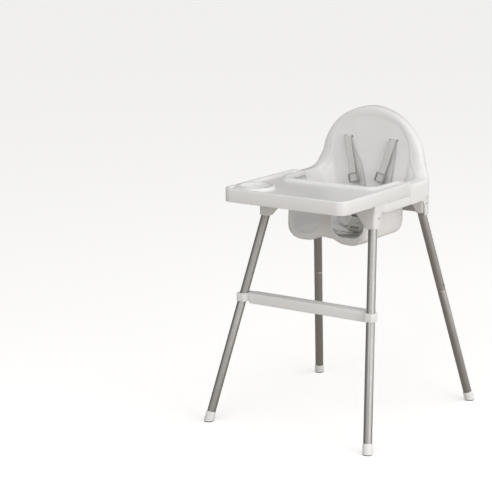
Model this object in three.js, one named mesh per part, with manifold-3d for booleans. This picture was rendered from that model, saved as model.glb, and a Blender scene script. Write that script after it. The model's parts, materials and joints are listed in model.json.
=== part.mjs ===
// Baby high chair: moulded bucket seat on four splayed plug-in legs, with a lift-off tray,
// a footrest and a five-point harness. Millimetres, +Z up, the child faces -Y.
// The origin is on the floor under the middle of the chair's outline.
import * as THREE from 'three';
import { mergeVertices } from 'three/addons/utils/BufferGeometryUtils.js';
import Module from 'manifold-3d';

const wasm = await Module();
wasm.setup();

// ---- driving dimensions ---------------------------------------------------------------
const WALL = 3.2; // moulded wall of shell and tray
const GAP = 0.35; // clearance kept between neighbouring pieces

// Legs: each axis runs from its top point to its foot point, alike in all four quadrants.
const LEG_Y = 7; // the four legs stand symmetrically about this y
const LEG_TOP = { x: 180, y: 143, z: 600 };
const LEG_FOOT = { x: 269.5, y: 309 };
const TUBE_R = 12.5;
const TUBE_BORE_R = 11.4;
const NECK_R = 11.15; // swaged neck of the lower tube, inside the upper one
const NECK_BORE_R = 10.05;
const NECK_LENGTH = 60;
const TUBE_TOP_Z = 658;
const SOCKET_MOUTH_Z = 601;
const JOINT_Z = { front: 352, rear: 360 };
const SOCKET_BUTTON_Z = 628;
const JOINT_BUTTON_RISE = 15; // along the leg, above the end of the upper tube
const BUTTON_R = 3;
const BUTTON_HOLE_R = 3.5;
const CAP_R = 14.25;
const CAP_HEIGHT = 30;
const PAD_HEIGHT = 2.4;
const SIDES = 20; // facets round a tube
const FINE = 0.02;

// Seat shell.
const ARM_X = 200; // outer face of the armrests
const ARM_Z = 703;
const TRAY_SEAT = { x: 197.4, z: 694 }; // outer face and height of the rim under the tray
const LEDGE_Z = 669.6; // ledge round the shell, just under the tray's skirt
const SEAM_Y = 42; // the tray ends here and the armrests rise to their full height
const SKIRT_Z = 642;
const REAR_Y = 191.5; // rear edge of the backrest rim
const APRON = { y: 176, z: 596, top: 697, r: 30 }; // wall behind the rear sockets
const SHELL_TOP_Z = 900;
const FRONT_Y = -94.5; // plane of the two leg openings
const OPENING = { x0: 20, x1: 126, z0: 552, z1: 682, r: 38 };
const SLOT = { x: 77, z: 804.5, half: 12, r: 2.6, eyeR: 3.2 };

// Tray.
const TRAY = { x: 201.5, front: -330.5, belly: -86, wingX: 151, top: 709, skirtZ: 670 };
const TRAY_FLOOR_Z = 700;
const TRAY_RIM = 10;
const CUP = { x: -143, y: -245, innerR: 43, outerR: 55, floorZ: 688 };

// Footrest.
const STEP = { boardX: 195, y0: -203, y1: -165.5, z0: 347, z1: 377 };
const SLEEVE = { half: 16.5, r: 10, z0: 352, z1: 376 };

// Harness.
const WEB = { width: 22, thick: 1.6 };

// ---- materials ------------------------------------------------------------------------
const plastic = new THREE.MeshStandardMaterial({ color: 0xe6e4df, roughness: 0.45 });
const trayPlastic = new THREE.MeshStandardMaterial({ color: 0xe9e7e3, roughness: 0.38 });
const steel = new THREE.MeshStandardMaterial({ color: 0xc4c4c2, roughness: 0.22, metalness: 1 });
const spring = new THREE.MeshStandardMaterial({ color: 0x8d8f92, roughness: 0.35, metalness: 1 });
const capPlastic = new THREE.MeshStandardMaterial({ color: 0xf0efec, roughness: 0.5 });
const rubber = new THREE.MeshStandardMaterial({ color: 0x4a4643, roughness: 0.8 });
const webbing = new THREE.MeshStandardMaterial({ color: 0xb4b3ae, roughness: 0.9 });
const buckle = new THREE.MeshStandardMaterial({ color: 0x55534f, roughness: 0.5 });

// ---- solids ---------------------------------------------------------------------------
function toSolid(geometry) {
  const plain = geometry.clone();
  for (const name of ['normal', 'uv']) plain.deleteAttribute(name);
  const merged = mergeVertices(plain, 1e-3);
  const solid = new wasm.Manifold(
    new wasm.Mesh({
      numProp: 3,
      vertProperties: new Float32Array(merged.attributes.position.array),
      triVerts: new Uint32Array(merged.index.array),
    }),
  );
  return solid;
}

// Slivers finer than FINE are merged away.
function toGeometry(solid) {
  const mesh = solid.simplify(FINE).getMesh();
  const geometry = new THREE.BufferGeometry();
  geometry.setAttribute('position', new THREE.BufferAttribute(mesh.vertProperties, 3));
  geometry.setIndex(new THREE.BufferAttribute(mesh.triVerts, 1));
  geometry.computeVertexNormals();
  return geometry;
}

const join = (...geometries) => toGeometry(geometries.map(toSolid).reduce((a, b) => a.add(b)));
const cut = (geometry, ...tools) =>
  toGeometry(tools.map(toSolid).reduce((a, b) => a.subtract(b), toSolid(geometry)));

// The same body with any enclosed pocket filled with its own material.
const filled = (geometry) =>
  toGeometry(toSolid(geometry).decompose().filter((part) => part.volume() > 0).reduce((a, b) => a.add(b)));

// A closed solid from its vertices and triangles, with the faces turned outwards.
function closed(points, triangles) {
  const corner = (i) => points[i];
  let volume = 0;
  for (const [a, b, c] of triangles) {
    volume += corner(a).dot(new THREE.Vector3().crossVectors(corner(b), corner(c)));
  }
  const faces = volume < 0 ? triangles.map(([a, b, c]) => [a, c, b]) : triangles;
  const geometry = new THREE.BufferGeometry().setFromPoints(points);
  geometry.setIndex(faces.flat());
  return geometry;
}

// Rings of equal point counts, skinned one to the next and closed by a fan at each end.
function loft(rings) {
  const count = rings[0].length;
  const points = rings.flat();
  const triangles = [];
  for (let r = 0; r + 1 < rings.length; r += 1) {
    for (let i = 0; i < count; i += 1) {
      const a = r * count + i;
      const b = r * count + ((i + 1) % count);
      triangles.push([a, b, b + count], [a, b + count, a + count]);
    }
  }
  for (const [ring, offset, flip] of [
    [rings[0], 0, true],
    [rings.at(-1), (rings.length - 1) * count, false],
  ]) {
    const middle = ring.reduce((sum, p) => sum.add(p), new THREE.Vector3()).divideScalar(count);
    const hub = points.push(middle) - 1;
    for (let i = 0; i < count; i += 1) {
      const pair = [offset + i, offset + ((i + 1) % count)];
      triangles.push(flip ? [hub, pair[1], pair[0]] : [hub, pair[0], pair[1]]);
    }
  }
  return closed(points, triangles);
}

// A rectangle with round corners as a list of points, counter-clockwise from its +x side.
function roundRect(x0, x1, y0, y1, r, z, perCorner = 4) {
  const points = [];
  for (const [cx, cy, start] of [
    [x1 - r, y1 - r, 0],
    [x0 + r, y1 - r, 90],
    [x0 + r, y0 + r, 180],
    [x1 - r, y0 + r, 270],
  ]) {
    for (let i = 0; i < perCorner; i += 1) {
      const angle = THREE.MathUtils.degToRad(start + (90 * i) / (perCorner - 1));
      points.push(new THREE.Vector3(cx + r * Math.cos(angle), cy + r * Math.sin(angle), z));
    }
  }
  return points;
}

const slab = (x0, x1, y0, y1, z0, z1, r, perCorner) =>
  loft([roundRect(x0, x1, y0, y1, r, z0, perCorner), roundRect(x0, x1, y0, y1, r, z1, perCorner)]);

const block = (x0, x1, y0, y1, z0, z1) =>
  new THREE.BoxGeometry(x1 - x0, y1 - y0, z1 - z0).translate(
    (x0 + x1) / 2,
    (y0 + y1) / 2,
    (z0 + z1) / 2,
  );

// A cylinder along Z from z0 to z1.
const rod = (radius, z0, z1, sides = 16) =>
  new THREE.CylinderGeometry(radius, radius, z1 - z0, sides)
    .rotateX(Math.PI / 2)
    .translate(0, 0, (z0 + z1) / 2);

// A cylinder along X or Y, centred on a point.
const crossRod = (radius, length, axis, x, y, z, sides = 16) => {
  const geometry = new THREE.CylinderGeometry(radius, radius, length, sides);
  if (axis === 'x') geometry.rotateZ(Math.PI / 2);
  return geometry.translate(x, y, z);
};

// An outline in the x-z plane, extruded along Y between two values.
const plate = (shape, y0, y1, curveSegments = 6) =>
  new THREE.ExtrudeGeometry(shape, { depth: y1 - y0, bevelEnabled: false, curveSegments })
    .rotateX(Math.PI / 2)
    .translate(0, y1, 0);

const lathe = (pairs, segments = SIDES) =>
  new THREE.LatheGeometry(
    pairs.map(([r, z]) => new THREE.Vector2(r, z)),
    segments,
  ).rotateX(Math.PI / 2);

const smoothstep = (a, b, x) => THREE.MathUtils.smoothstep(x, a, b);

// ---- seat shell -----------------------------------------------------------------------
// The moulding is one skin of closed rows. Each row runs from the front middle along the
// right side to the rear middle, and is mirrored. Columns meet the same stretch of every row.
const COLUMNS = { front: 3, corner: 4, side: 2, rearSide: 2, flare: 5, arch: 6 };

function lineTo(points, end, steps) {
  const start = points.at(-1).clone();
  for (let i = 1; i <= steps; i += 1) points.push(start.clone().lerp(end, i / steps));
}

function arcTo(points, centre, from, to, steps, endZ) {
  const { x, y, z } = points.at(-1);
  const radius = Math.hypot(x - centre.x, y - centre.y);
  for (let i = 1; i <= steps; i += 1) {
    const angle = THREE.MathUtils.degToRad(from + ((to - from) * i) / steps);
    const level = THREE.MathUtils.lerp(z, endZ, i / steps);
    const dx = radius * Math.cos(angle);
    points.push(new THREE.Vector3(centre.x + dx, centre.y + radius * Math.sin(angle), level));
  }
}

const along = (stops, steps) => new THREE.CatmullRomCurve3(stops, false, 'centripetal').getPoints(steps);

// The front part of a row ends at the tray seam, where the next part begins. Its height may
// change round the corner, from z in front to sideZ along the side.
function frontPart({ x, y, r, z, sideZ = z }) {
  const points = [new THREE.Vector3(0, y, z)];
  lineTo(points, new THREE.Vector3(x - r, y, z), COLUMNS.front);
  arcTo(points, { x: x - r, y: y + r }, -90, 0, COLUMNS.corner, sideZ);
  lineTo(points, new THREE.Vector3(x, SEAM_Y + GAP, sideZ), COLUMNS.side);
  return points;
}

function bucketRear({ x, y, r, z }) {
  const points = [new THREE.Vector3(x, SEAM_Y + 2 * GAP, z)];
  lineTo(points, new THREE.Vector3(x, y - r, z), COLUMNS.rearSide);
  arcTo(points, { x: x - r, y: y - r }, 0, 90, COLUMNS.flare, z);
  lineTo(points, new THREE.Vector3(0, y, z), COLUMNS.arch);
  return points;
}

function archRear(side, flare, arch) {
  const points = [new THREE.Vector3(side.x, SEAM_Y + 2 * GAP, side.z)];
  const vectors = (list) => list.map((p) => new THREE.Vector3(...p));
  const start = new THREE.Vector3(side.x, side.y, side.z);
  lineTo(points, start, COLUMNS.rearSide);
  points.push(...along([start, ...vectors(flare)], COLUMNS.flare).slice(1));
  // The curve runs on past the middle, so that it crosses it level.
  const [x, y, z] = arch.at(-2);
  const stops = vectors([flare.at(-1), ...arch, [-x, y, z]]);
  const curve = new THREE.CatmullRomCurve3(stops, false, 'centripetal');
  const share = arch.length / (arch.length + 1);
  for (let i = 1; i <= COLUMNS.arch; i += 1) points.push(curve.getPoint((i / COLUMNS.arch) * share));
  return points;
}

// Two hollows for the thighs with a low ridge between them, fading towards the back.
function seatRelief(p, amount) {
  const fade = amount * smoothstep(-30, 80, -p.y);
  const across = Math.abs(p.x);
  p.z -= fade * 12 * Math.exp(-(((across - 74) / 38) ** 4));
  p.z += fade * 4 * Math.exp(-((across / 20) ** 2));
  return p;
}

const seatRow = (front, rear, relief) =>
  [...frontPart(front), ...bucketRear(rear)].map((p) => seatRelief(p, relief));

const crease = [
  ...frontPart({ x: 168, y: -124, r: 42, z: TRAY_SEAT.z }),
  ...archRear(
    { x: 170, y: 104, z: ARM_Z },
    [[166, 132, 706], [154, 148, 720], [140, 153, 742], [134, 155, 762]],
    [[132, 156, 795], [118, 158, 828], [92, 160, 857], [48, 161, 874], [0, 161.5, 879]],
  ),
];
const outline = [
  ...frontPart({ x: TRAY_SEAT.x, y: -146, r: 60, z: TRAY_SEAT.z - 7 }),
  ...archRear(
    { x: ARM_X, y: 112, z: ARM_Z - 7 },
    [[199.5, 148, 698], [192, 165, 706], [180, 172.5, 728], [170, 175.5, 757]],
    [[162, 176, 787], [142.5, 176, 826], [104.5, 176, 865], [54, 176, 890.5], [0, 176, SHELL_TOP_Z]],
  ),
];
const skirt = [
  ...frontPart({ x: ARM_X, y: -148.5, r: 62, z: SKIRT_Z + 14, sideZ: SKIRT_Z }),
  ...archRear(
    { x: ARM_X, y: 112, z: SKIRT_Z },
    [[199.8, 150, 652], [194, 165, 672], [183.5, 175, 704], [171, 186, 745]],
    [[159, REAR_Y, 784], [140, REAR_Y, 822], [104, REAR_Y, 862], [54, REAR_Y, 889], [0, REAR_Y, SHELL_TOP_Z - 1]],
  ),
];
// The narrow ledge that carries the tray: its inner edge, then its outer one.
const ledgeInner = [
  ...frontPart({ x: TRAY_SEAT.x, y: -146, r: 60, z: LEDGE_Z }),
  ...archRear(
    { x: ARM_X, y: 112, z: LEDGE_Z + 5 },
    [[199.6, 149, 677], [193, 165.5, 692], [182, 174, 718], [170.7, 179.5, 752]],
    [[159, 182, 785], [140, 182, 823], [104, 182, 862], [54, 182, 889.5], [0, 182, SHELL_TOP_Z - 0.3]],
  ),
];
const ledgeFront = frontPart({ x: ARM_X, y: -148.5, r: 62, z: LEDGE_Z - 0.2 });
const ledgeOuter = ledgeInner.map((p, i) => ledgeFront[i] ?? p.clone().lerp(skirt[i], 0.4));
// The way the rim faces: up along the arms, turning to face forwards up the backrest.
const facing = outline.map((p) => {
  const turn = (Math.PI / 2) * smoothstep(699, 752, p.z);
  return new THREE.Vector3(0, -Math.sin(turn), Math.cos(turn));
});

const FLARE_START = COLUMNS.front + COLUMNS.corner + COLUMNS.side + 1 + COLUMNS.rearSide;
const FLARE_END = FLARE_START + COLUMNS.flare;

// The rounded edge between crease and outline, at a share of its quarter turn. Round the
// flare, where the rim turns from facing up to facing forwards, it runs through given stops.
function rolled(share, flare) {
  const row = crease.map((c, i) => {
    const up = facing[i].clone().multiplyScalar(c.clone().sub(outline[i]).dot(facing[i]));
    const out = outline[i].clone().sub(c).add(up);
    const angle = (share * Math.PI) / 2;
    const middle = c.clone().sub(up);
    return middle.addScaledVector(up, Math.cos(angle) ** 0.45).addScaledVector(out, Math.sin(angle) ** 0.8);
  });
  const stops = [row[FLARE_START], ...flare.map((p) => new THREE.Vector3(...p)), row[FLARE_END]];
  row.splice(FLARE_START, COLUMNS.flare + 1, ...along(stops, COLUMNS.flare));
  return row;
}

const CREASE_ROW = 6;

function shellRows() {
  const wall = seatRow({ x: 134, y: -96, r: 24, z: 640 }, { x: 134, y: 137, r: 34, z: 640 }, 0);
  const middle = wall.map((p, i) => {
    const arched = -facing[i].y;
    return new THREE.Vector3(
      THREE.MathUtils.lerp(p.x, crease[i].x, 0.22 + 0.25 * arched),
      THREE.MathUtils.lerp(p.y, crease[i].y, 0.25 + 0.55 * arched),
      THREE.MathUtils.lerp(p.z, crease[i].z, 0.5),
    );
  });
  return [
    seatRow({ x: 52, y: -46, r: 22, z: 548 }, { x: 52, y: 78, r: 24, z: 548 }, 1),
    seatRow({ x: 96, y: -80, r: 26, z: 547 }, { x: 96, y: 102, r: 34, z: 547 }, 1),
    seatRow({ x: 125, y: -91, r: 24, z: 548, sideZ: 549.5 }, { x: 125, y: 126, r: 36, z: 549.5 }, 1),
    seatRow({ x: 132.5, y: FRONT_Y, r: 22, z: 551.5, sideZ: 566 }, { x: 132.5, y: 135, r: 34, z: 566 }, 0.8),
    wall,
    middle,
    crease,
    rolled(0.35, [[186.5, 137, 706.5], [177.5, 150.5, 718.5], [166.5, 155, 738]]),
    rolled(0.7, [[196.8, 142, 703.5], [189.5, 157.5, 713], [178, 162, 736]]),
    outline,
    ledgeInner,
    ledgeOuter,
    skirt,
  ];
}

// The shell's face as points and triangles, with the way each point faces.
function shellFace() {
  const rows = shellRows().map((row) => {
    const left = row.slice(1, -1).reverse();
    return [...row, ...left.map((p) => new THREE.Vector3(-p.x, p.y, p.z))];
  });
  const count = rows[0].length;
  const points = rows.flat();
  const hub = points.push(rows[0].reduce((s, p) => s.add(p), new THREE.Vector3()).divideScalar(count)) - 1;
  const triangles = [];
  for (let r = -1; r + 1 < rows.length; r += 1) {
    for (let i = 0; i < count; i += 1) {
      const [a, b] = [r * count + i, r * count + ((i + 1) % count)];
      if (r < 0) triangles.push([hub, a + count, b + count]);
      else triangles.push([a, a + count, b + count], [a, b + count, b]);
    }
  }
  const skin = new THREE.BufferGeometry().setFromPoints(points);
  skin.setIndex(triangles.flat());
  skin.computeVertexNormals();
  const normals = points.map((_, i) => new THREE.Vector3().fromBufferAttribute(skin.attributes.normal, i));
  return { points, triangles, normals, count };
}

function shellSkin({ points, triangles, normals, count }) {
  const size = points.length;
  const under = points.map((p, i) => p.clone().addScaledVector(normals[i], -WALL));
  const edge = size - 1 - count;
  const all = [...triangles, ...triangles.map(([a, b, c]) => [a + size, c + size, b + size])];
  for (let i = 0; i < count; i += 1) {
    const [a, b] = [edge + i, edge + ((i + 1) % count)];
    all.push([a, b + size, b], [a, a + size, b + size]);
  }
  return closed([...points, ...under], all);
}

// The room inside the bucket, up to the crease of the rim and halfway into the wall.
function bucketRoom({ points, triangles, normals, count }) {
  const hub = points.length - 1;
  const inside = (i) => i < CREASE_ROW * count + count || i === hub;
  const room = points.map((p, i) => p.clone().addScaledVector(normals[i], -WALL / 2));
  const lid = room.push(new THREE.Vector3(0, 60, 735)) - 1;
  const faces = triangles.filter((corners) => corners.every(inside));
  for (let i = 0; i < count; i += 1) {
    faces.push([lid, CREASE_ROW * count + ((i + 1) % count), CREASE_ROW * count + i]);
  }
  const used = [...new Set(faces.flat())];
  const order = new Map(used.map((old, index) => [old, index]));
  return closed(used.map((i) => room[i]), faces.map((corners) => corners.map((i) => order.get(i))));
}

// The axis of a leg at a height, for a quadrant given by the signs of x and y.
function legPoint(sx, sy, z) {
  const share = (LEG_TOP.z - z) / LEG_TOP.z;
  return new THREE.Vector3(
    sx * THREE.MathUtils.lerp(LEG_TOP.x, LEG_FOOT.x, share),
    LEG_Y + sy * THREE.MathUtils.lerp(LEG_TOP.y, LEG_FOOT.y, share),
    z,
  );
}

// A leg's own frame: +Z up its axis and +X outwards, at a point of the axis.
function legFrame(sx, sy, z, matrix = new THREE.Matrix4()) {
  const up = legPoint(sx, sy, LEG_TOP.z).sub(legPoint(sx, sy, 0)).normalize();
  const out = new THREE.Vector3(sx, 0, 0).addScaledVector(up, -sx * up.x).normalize();
  const across = new THREE.Vector3().crossVectors(up, out);
  return matrix.makeBasis(out, across, up).setPosition(legPoint(sx, sy, z));
}

const LEG_STRETCH = legPoint(1, 1, 0).distanceTo(legPoint(1, 1, LEG_TOP.z)) / LEG_TOP.z;

// A leg socket: a sleeve round the tube, nearly round at its mouth, that widens upwards into
// the armrest, with a web that curves in towards the bucket. The front ones have an upright face.
function socket(sx, sy) {
  const outer = sy < 0 ? TRAY_SEAT.x : ARM_X;
  const front = legPoint(1, sy, SOCKET_MOUTH_Z).y - 15;
  const rings = [SOCKET_MOUTH_Z, 612, 626, 640, 656, 674].map((z) => {
    const rise = (z - SOCKET_MOUTH_Z) / 73;
    const axis = legPoint(1, sy, z);
    const half = 15 + 3 * rise;
    const web = sy < 0 ? 3 + 47 * rise ** 1.1 : 14 * rise ** 1.3;
    const x1 = THREE.MathUtils.lerp(axis.x + half, outer - 0.1, Math.min(1, rise * 1.2));
    const y0 = sy < 0 ? front - 2 * rise : axis.y - half;
    const ring = roundRect(axis.x - half - web, x1, y0, axis.y + half, 10 - 5 * rise, z, 3);
    return sx > 0 ? ring : ring.map((p) => new THREE.Vector3(-p.x, p.y, p.z)).reverse();
  });
  return loft(rings);
}

function legBore(sx, sy) {
  const top = (TUBE_TOP_Z - SOCKET_MOUTH_Z) * LEG_STRETCH + 1.5;
  return rod(TUBE_R + GAP, -20, top, SIDES).applyMatrix4(legFrame(sx, sy, SOCKET_MOUTH_Z));
}

function socketButtonHole(sx, sy) {
  const hole = crossRod(BUTTON_HOLE_R, 34, 'x', 17, 0, 0, 10);
  return hole.applyMatrix4(legFrame(sx, sy, SOCKET_BUTTON_Z));
}

// The wall that carries the side skirts round the rear corners and hangs between the rear
// sockets. Its top leans in under the backrest.
function apron() {
  const { y, z, top, r } = APRON;
  const rings = [[z, 0], [top - 22, 0], [top - 8, 2], [top, 7]].map(([level, inset]) =>
    roundRect(-ARM_X + inset, ARM_X - inset, 96, y - inset / 4, r, level, 5));
  const inner = slab(-ARM_X + WALL, ARM_X - WALL, 60, y - WALL, z - 1, top - 15, r - WALL, 5);
  const arch = new THREE.Shape();
  arch.moveTo(60, z - 6);
  arch.lineTo(60, SKIRT_Z);
  arch.lineTo(112, SKIRT_Z);
  arch.quadraticCurveTo(128, SKIRT_Z, 132, 622);
  arch.lineTo(135, z - 6);
  const sideCut = new THREE.ExtrudeGeometry(arch, {
    depth: 2 * ARM_X + 20,
    bevelEnabled: false,
    curveSegments: 4,
  });
  sideCut.rotateX(Math.PI / 2).rotateZ(Math.PI / 2).translate(-ARM_X - 10, 0, 0);
  return cut(loft(rings), inner, sideCut);
}

// The lower back, from the apron's top up into the wall behind the backrest.
function lowerBack() {
  const stack = (levels) =>
    loft(levels.map(({ z, x, front, back }) => roundRect(-x, x, front, back, 6, z, 3)));
  const outer = stack([
    { z: 688, x: 186, front: 148, back: APRON.y - 1 },
    { z: 706, x: 181, front: 153, back: 179 },
    { z: 722, x: 176, front: 157, back: 182 },
    { z: 738, x: 170, front: 159, back: 184 },
    { z: 756, x: 160, front: 160, back: 173 },
  ]);
  const inner = stack([
    { z: 660, x: 178, front: 130, back: APRON.y - WALL - 0.5 },
    { z: 690, x: 180, front: 130, back: APRON.y - WALL - 0.5 },
    { z: 706, x: 176, front: 140, back: 175 },
    { z: 734, x: 165, front: 145, back: 179.5 },
  ]);
  return { outer, inner };
}

function legOpening(side) {
  const { x0, x1, z0, z1, r } = OPENING;
  const [a, b] = side > 0 ? [x0, x1] : [-x1, -x0];
  const shape = new THREE.Shape();
  shape.moveTo(a, z1 - 6);
  shape.lineTo(a, z0 + r);
  shape.absarc(a + r, z0 + r, r, Math.PI, 1.5 * Math.PI, false);
  shape.lineTo(b - r, z0);
  shape.absarc(b - r, z0 + r, r, 1.5 * Math.PI, 2 * Math.PI, false);
  shape.lineTo(b, z1 - 6);
  shape.lineTo(b - 6, z1);
  shape.lineTo(a + 6, z1);
  return plate(shape, FRONT_Y - 50, FRONT_Y + 24);
}

function strapSlot(x, y0, y1) {
  const { z, half, r, eyeR } = SLOT;
  return [
    block(x - half, x + half, y0, y1, z - r, z + r),
    crossRod(eyeR, y1 - y0, 'y', x - half, (y0 + y1) / 2, z, 10),
    crossRod(eyeR, y1 - y0, 'y', x + half, (y0 + y1) / 2, z, 10),
  ];
}

const QUADRANTS = [
  { name: 'front_left', sx: -1, sy: -1 },
  { name: 'front_right', sx: 1, sy: -1 },
  { name: 'rear_left', sx: -1, sy: 1 },
  { name: 'rear_right', sx: 1, sy: 1 },
];

const WAIST_SLOT = { x: 92, z: 606 };
const CROTCH_SLOT_Y = -58;

function seatShell() {
  const face = shellFace();
  const back = lowerBack();
  const rear = cut(join(apron(), back.outer), back.inner);
  const supports = join(rear, ...QUADRANTS.map(({ sx, sy }) => socket(sx, sy)));
  const body = join(shellSkin(face), cut(supports, bucketRoom(face)));
  const drilled = cut(
    body,
    ...QUADRANTS.map(({ sx, sy }) => legBore(sx, sy)),
    ...QUADRANTS.map(({ sx, sy }) => socketButtonHole(sx, sy)),
    legOpening(1),
    legOpening(-1),
    ...[-1, 1].flatMap((side) => strapSlot(side * SLOT.x, 140, 180)),
    ...[-1, 1].map((side) =>
      block(side * WAIST_SLOT.x - 15, side * WAIST_SLOT.x + 15, 122, 150, WAIST_SLOT.z - 3, WAIST_SLOT.z + 3)),
    block(-15, 15, CROTCH_SLOT_Y - 3, CROTCH_SLOT_Y + 3, 530, 565),
  );
  return filled(drilled);
}

// ---- tray -----------------------------------------------------------------------------
// Outline of the tray, moved inwards by an inset: a board with two wings that end at the seam.
function trayShape(inset) {
  const { x, front, belly, wingX } = TRAY;
  const [right, near, inner, back] = [x - inset, front + inset, wingX + inset, SEAM_Y - inset];
  const bellyY = belly - inset;
  const bigR = 30 - Math.min(inset, 10);
  const smallR = 22 + Math.min(inset, 10);
  const shape = new THREE.Shape();
  shape.moveTo(-right + bigR, near);
  shape.lineTo(right - bigR, near);
  shape.absarc(right - bigR, near + bigR, bigR, -Math.PI / 2, 0, false);
  shape.lineTo(right, back);
  shape.lineTo(inner, back);
  shape.lineTo(inner, bellyY + smallR);
  shape.absarc(inner - smallR, bellyY + smallR, smallR, 0, -Math.PI / 2, true);
  shape.lineTo(-inner + smallR, bellyY);
  shape.absarc(-inner + smallR, bellyY + smallR, smallR, -Math.PI / 2, -Math.PI, true);
  shape.lineTo(-inner, back);
  shape.lineTo(-right, back);
  shape.lineTo(-right, near + bigR);
  shape.absarc(-right + bigR, near + bigR, bigR, Math.PI, 1.5 * Math.PI, false);
  return shape;
}

const board = (shape, z0, z1, curveSegments = 6) =>
  new THREE.ExtrudeGeometry(shape, { depth: z1 - z0, bevelEnabled: false, curveSegments }).translate(0, 0, z0);

function tray() {
  const { top, skirtZ } = TRAY;
  const under = TRAY_FLOOR_Z - WALL;
  const cupAt = (radius, z0, z1, sides) => rod(radius, z0, z1, sides).translate(CUP.x, CUP.y, 0);
  const recess = cut(board(trayShape(TRAY_RIM), TRAY_FLOOR_Z, top + 5), cupAt(CUP.outerR, 690, top + 6, 28));
  const hollow = cut(board(trayShape(WALL), skirtZ - 5, under), cupAt(CUP.innerR + WALL, 660, under + 1, 28));
  const body = join(board(trayShape(0), skirtZ, top), cupAt(CUP.innerR + WALL, CUP.floorZ - WALL, under, 28));
  // The skirt is left off where the tray crosses the bucket, so that it can sit on the arms.
  const inside = TRAY.x - WALL;
  const bellyNotch = block(-inside, inside, TRAY.belly - 75, SEAM_Y + 10, skirtZ - 5, under);
  return cut(body, recess, hollow, bellyNotch, cupAt(CUP.innerR, CUP.floorZ, top + 5, 28));
}

// ---- footrest -------------------------------------------------------------------------
function footrestBoard() {
  const { boardX, y0, y1, z0, z1 } = STEP;
  const outer = slab(-boardX, boardX, y0, y1, z0, z1, 4, 3);
  const inner = slab(-boardX + WALL, boardX - WALL, y0 + WALL, y1 - WALL, z0 - 1, z1 - WALL, 2, 3);
  const ribs = [-120, -60, 0, 60, 120].map((x) => block(x - 1.2, x + 1.2, y0 + 2, y1 - 2, z0 + 4, z1 - 1));
  return join(cut(outer, inner), ...ribs);
}

// The ring that holds an end of the board on its leg, with a tongue into the hollow board.
function footrestSleeve(side) {
  const { half, r, z0, z1 } = SLEEVE;
  const middleZ = (z0 + z1) / 2;
  const axis = legPoint(side, -1, middleZ);
  const ring = slab(axis.x - half, axis.x + half, axis.y - half, axis.y + half, z0, z1, r, 5);
  const clearX = STEP.boardX + 0.5;
  const reach = side > 0 ? [clearX, axis.x] : [axis.x, -clearX];
  const lug = slab(...reach, axis.y, STEP.y1 - 3, z0, z1, 3, 3);
  const bore = rod(TUBE_R + GAP, -40, 40, SIDES).applyMatrix4(legFrame(side, -1, middleZ));
  const button = crossRod(BUTTON_HOLE_R, 40, 'y', 0, 20, 0, 12);
  const buttonFrame = legFrame(side, -1, JOINT_Z.front + JOINT_BUTTON_RISE / LEG_STRETCH);
  button.rotateZ(side > 0 ? 0 : Math.PI).applyMatrix4(buttonFrame);
  const boardRoom = block(-clearX, clearX, STEP.y0 - 30, STEP.y1 + 30, z0 - 5, z1 + 5);
  return cut(join(ring, lug), bore, button, boardRoom);
}

// ---- legs -----------------------------------------------------------------------------
const jointZ = (sy) => (sy < 0 ? JOINT_Z.front : JOINT_Z.rear);

// Direction in which the joint button points, as a turn about the leg: outwards on the rear
// legs, rearwards on the front legs, where it also locks the footrest sleeve.
function jointTurn(sx, sy) {
  if (sy > 0) return 0;
  return sx > 0 ? Math.PI / 2 : -Math.PI / 2;
}

function hollowTube(outerR, boreR, z0, z1) {
  return lathe([[boreR, z0], [outerR, z0], [outerR, z1], [boreR, z1], [boreR, z0]]);
}

function upperTube(sx, sy) {
  const length = (TUBE_TOP_Z - jointZ(sy)) * LEG_STRETCH;
  const topHole = crossRod(BUTTON_HOLE_R, 20, 'x', 12, 0, -(TUBE_TOP_Z - SOCKET_BUTTON_Z) * LEG_STRETCH, 10);
  const lowHole = crossRod(BUTTON_HOLE_R, 20, 'x', 12, 0, -length + JOINT_BUTTON_RISE, 10);
  lowHole.rotateZ(jointTurn(sx, sy));
  return cut(hollowTube(TUBE_R, TUBE_BORE_R, -length, 0), topHole, lowHole);
}

function lowerTube(sx, sy) {
  const length = jointZ(sy) * LEG_STRETCH - 10;
  const neckTop = NECK_LENGTH;
  const shoulder = -0.5;
  const tube = lathe([
    [NECK_BORE_R, neckTop],
    [NECK_BORE_R, shoulder - 4],
    [TUBE_BORE_R, shoulder - 8],
    [TUBE_BORE_R, -length],
    [TUBE_R, -length],
    [TUBE_R, shoulder - 2],
    [NECK_R, shoulder],
    [NECK_R, neckTop],
    [NECK_BORE_R, neckTop],
  ]);
  const hole = crossRod(BUTTON_HOLE_R, 20, 'x', 12, 0, JOINT_BUTTON_RISE, 10).rotateZ(jointTurn(sx, sy));
  return cut(tube, hole);
}

// A bent leaf spring whose two arms press on the bore. The button stands on the +X arm at z = 0.
function leafSpring(boreR) {
  const reach = boreR - 0.5;
  const shape = new THREE.Shape();
  const thick = 0.8;
  shape.moveTo(reach, 6);
  shape.lineTo(reach, -6);
  shape.quadraticCurveTo(reach - 2, -20, 3, -34);
  shape.absarc(0, -34, 3, 0, -Math.PI, true);
  shape.quadraticCurveTo(-reach + 2, -20, -reach, -6);
  shape.lineTo(-reach, 6);
  shape.lineTo(-reach + thick, 6);
  shape.lineTo(-reach + thick, -6);
  shape.quadraticCurveTo(-reach + 2 + thick, -20, -3 + thick, -34);
  shape.absarc(0, -34, 3 - thick, Math.PI, 2 * Math.PI, false);
  shape.quadraticCurveTo(reach - 2 - thick, -20, reach - thick, -6);
  shape.lineTo(reach - thick, 6);
  return plate(shape, -3, 3, 2);
}

// A button from the spring arm out to its domed tip, along +X.
function snapButton(boreR, tip) {
  const start = boreR - 0.5 + GAP;
  const pin = lathe([[0, start], [BUTTON_R, start], [BUTTON_R, tip - 1.2], [BUTTON_R - 1.4, tip], [0, tip]], 10);
  return pin.rotateY(Math.PI / 2);
}

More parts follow.
